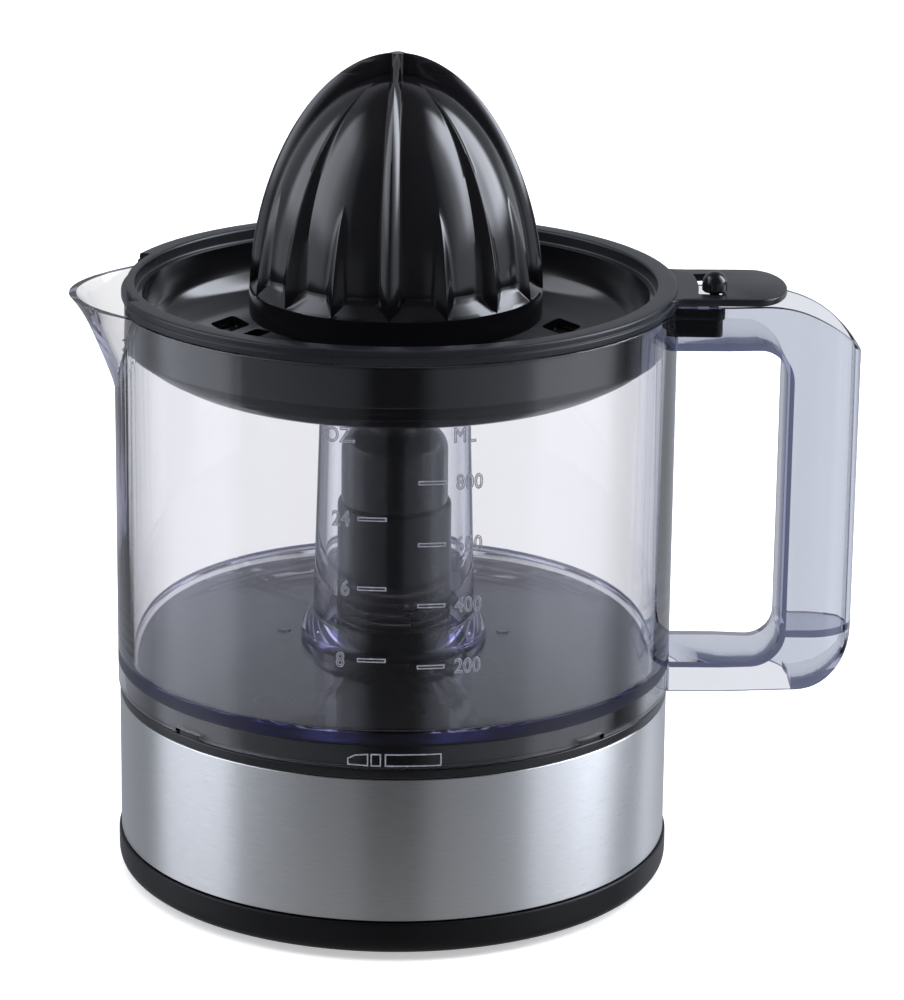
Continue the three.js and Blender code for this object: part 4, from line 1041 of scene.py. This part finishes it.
def make_floor():
    half = 4.0
    corners = [(-half, -half, 0), (half, -half, 0), (half, half, 0), (-half, half, 0)]
    mesh = bpy.data.meshes.new("floor")
    mesh.from_pydata(corners, [], [(0, 1, 2, 3)])
    floor = new_object("floor", mesh)
    material, shader = node_material("pale_floor", Roughness=0.9, Emission_Color=(*WHITE, 1),
                                     Emission_Strength=FLOOR_GLOW)
    tone = shaded(material, object_noise(material, 3, 2), (0.86, 0.86, 0.865), (0.9, 0.9, 0.905))
    link(material, tone, shader.inputs["Base Color"])
    mesh.materials.append(material)
    floor.visible_glossy = False
    floor.visible_transmission = False


def studio_ramp(world, azimuth, stops):
    """Brightness round the studio, as a share of its peak."""
    ramp = add_node(world, "ShaderNodeValToRGB")
    elements = ramp.color_ramp.elements
    while len(elements) < len(stops):
        elements.new(0.5)
    for element, (degrees, level) in zip(elements, stops):
        element.position = (degrees + 180) / 360
        element.color = tuple(level / STUDIO_PEAK * tone for tone in STUDIO_TONE) + (1,)
    link(world, azimuth, ramp.inputs["Fac"])
    return ramp.outputs["Color"]


def ramped(world, value, low, high):
    """Smooth step of a value between two limits."""
    node = add_node(world, "ShaderNodeMapRange", interpolation_type="SMOOTHSTEP", From_Min=low, From_Max=high)
    link(world, value, node.inputs["Value"])
    return node.outputs["Result"]


def mixed(world, factor, first, second):
    """Mix of two colours, each a socket or a plain colour."""
    node = add_node(world, "ShaderNodeMix", data_type="RGBA")
    link(world, factor, node.inputs["Factor"])
    for socket, colour in zip(node.inputs[6:8], (first, second)):  # its two colour sockets
        if isinstance(colour, tuple):
            socket.default_value = (*colour, 1)
        else:
            link(world, colour, socket)
    return node.outputs[2]


def make_world():
    """A white backdrop where it is seen directly or through clear plastic, and a studio with softboxes on
    the left and right where it is reflected."""
    world = bpy.data.worlds.new("studio")
    bpy.context.scene.world = world
    world.use_nodes = True
    place = add_node(world, "ShaderNodeTexCoord")
    parts = add_node(world, "ShaderNodeSeparateXYZ")
    link(world, place.outputs["Generated"], parts.inputs["Vector"])
    front = calculated(world, "MULTIPLY", parts.outputs["Y"], -1)
    radians = calculated(world, "ARCTAN2", parts.outputs["X"], front)
    azimuth = calculated(world, "MULTIPLY_ADD", radians, 1 / (2 * math.pi), 0.5)
    up = parts.outputs["Z"]
    low = studio_ramp(world, azimuth, STUDIO_LOW)
    high = studio_ramp(world, azimuth, STUDIO_HIGH)
    top = (STUDIO_TOP / STUDIO_PEAK,) * 3
    ground = (STUDIO_FLOOR / STUDIO_PEAK,) * 3
    low = mixed(world, ramped(world, up, -0.58, -0.42), ground, low)
    ring = mixed(world, ramped(world, up, 0.04, 0.2), low, high)
    dim = mixed(world, ramped(world, up, 0.7, 0.92), ring, top)
    bright = add_node(world, "ShaderNodeVectorMath", operation="SCALE", Scale=STUDIO_PEAK)
    link(world, dim, bright.inputs["Vector"])
    backdrop = mixed(world, ramped(world, parts.outputs["Y"], 0.45, 0.85), THROUGH_SIDE, WHITE)
    path = add_node(world, "ShaderNodeLightPath")
    bounced = calculated(world, "ADD", path.outputs["Glossy Depth"], path.outputs["Diffuse Depth"])
    through = mixed(world, path.outputs["Is Camera Ray"], backdrop, WHITE)
    studio = mixed(world, calculated(world, "GREATER_THAN", bounced, 0.5), through, bright.outputs["Vector"])
    link(world, studio, world.node_tree.nodes["Background"].inputs["Color"])


def make_softbox():
    """One wide soft light above the front, which doesn't show in reflections."""
    light = bpy.data.lights.new("top_softbox", "AREA")
    light.size = 2.0
    light.energy = 30
    softbox = new_object("top_softbox", light)
    softbox.location = (0, -0.2, 1.6)
    aim = Vector((AXIS_X, 0, 0.05)) - softbox.location
    softbox.rotation_euler = aim.to_track_quat("-Z", "Y").to_euler()
    softbox.visible_glossy = False


def make_camera():
    data = bpy.data.cameras.new("camera")
    data.lens = CAMERA["lens"]
    data.sensor_width = CAMERA["sensor"]
    data.shift_x, data.shift_y = CAMERA["shift"]
    camera = new_object("camera", data)
    place = Matrix.Translation((AXIS_X, CAMERA["y"], CAMERA["z"]))
    tilt = Matrix.Rotation(math.radians(90 - CAMERA["down"]), 4, "X")
    camera.matrix_world = place @ tilt @ Matrix.Rotation(math.radians(CAMERA["roll"]), 4, "Z")
    bpy.context.scene.camera = camera


# ---- assembly ----

make_camera()
make_world()
make_softbox()
make_floor()
finish_cad_nodes()
make_band()
make_housing()
make_tower_cap()
make_cover()
make_feet()
make_inlet()
make_shaft()
make_jug()
make_handle()
make_scale()
make_strainer()
make_pulp_ring()
make_knob()
make_small_cone()
make_large_cone()
scene = bpy.context.scene
scene.view_settings.view_transform = "Standard"
scene.cycles.max_bounces = 28
scene.cycles.transmission_bounces = 28
scene.cycles.glossy_bounces = 16
scene.cycles.sample_clamp_indirect = 1.0
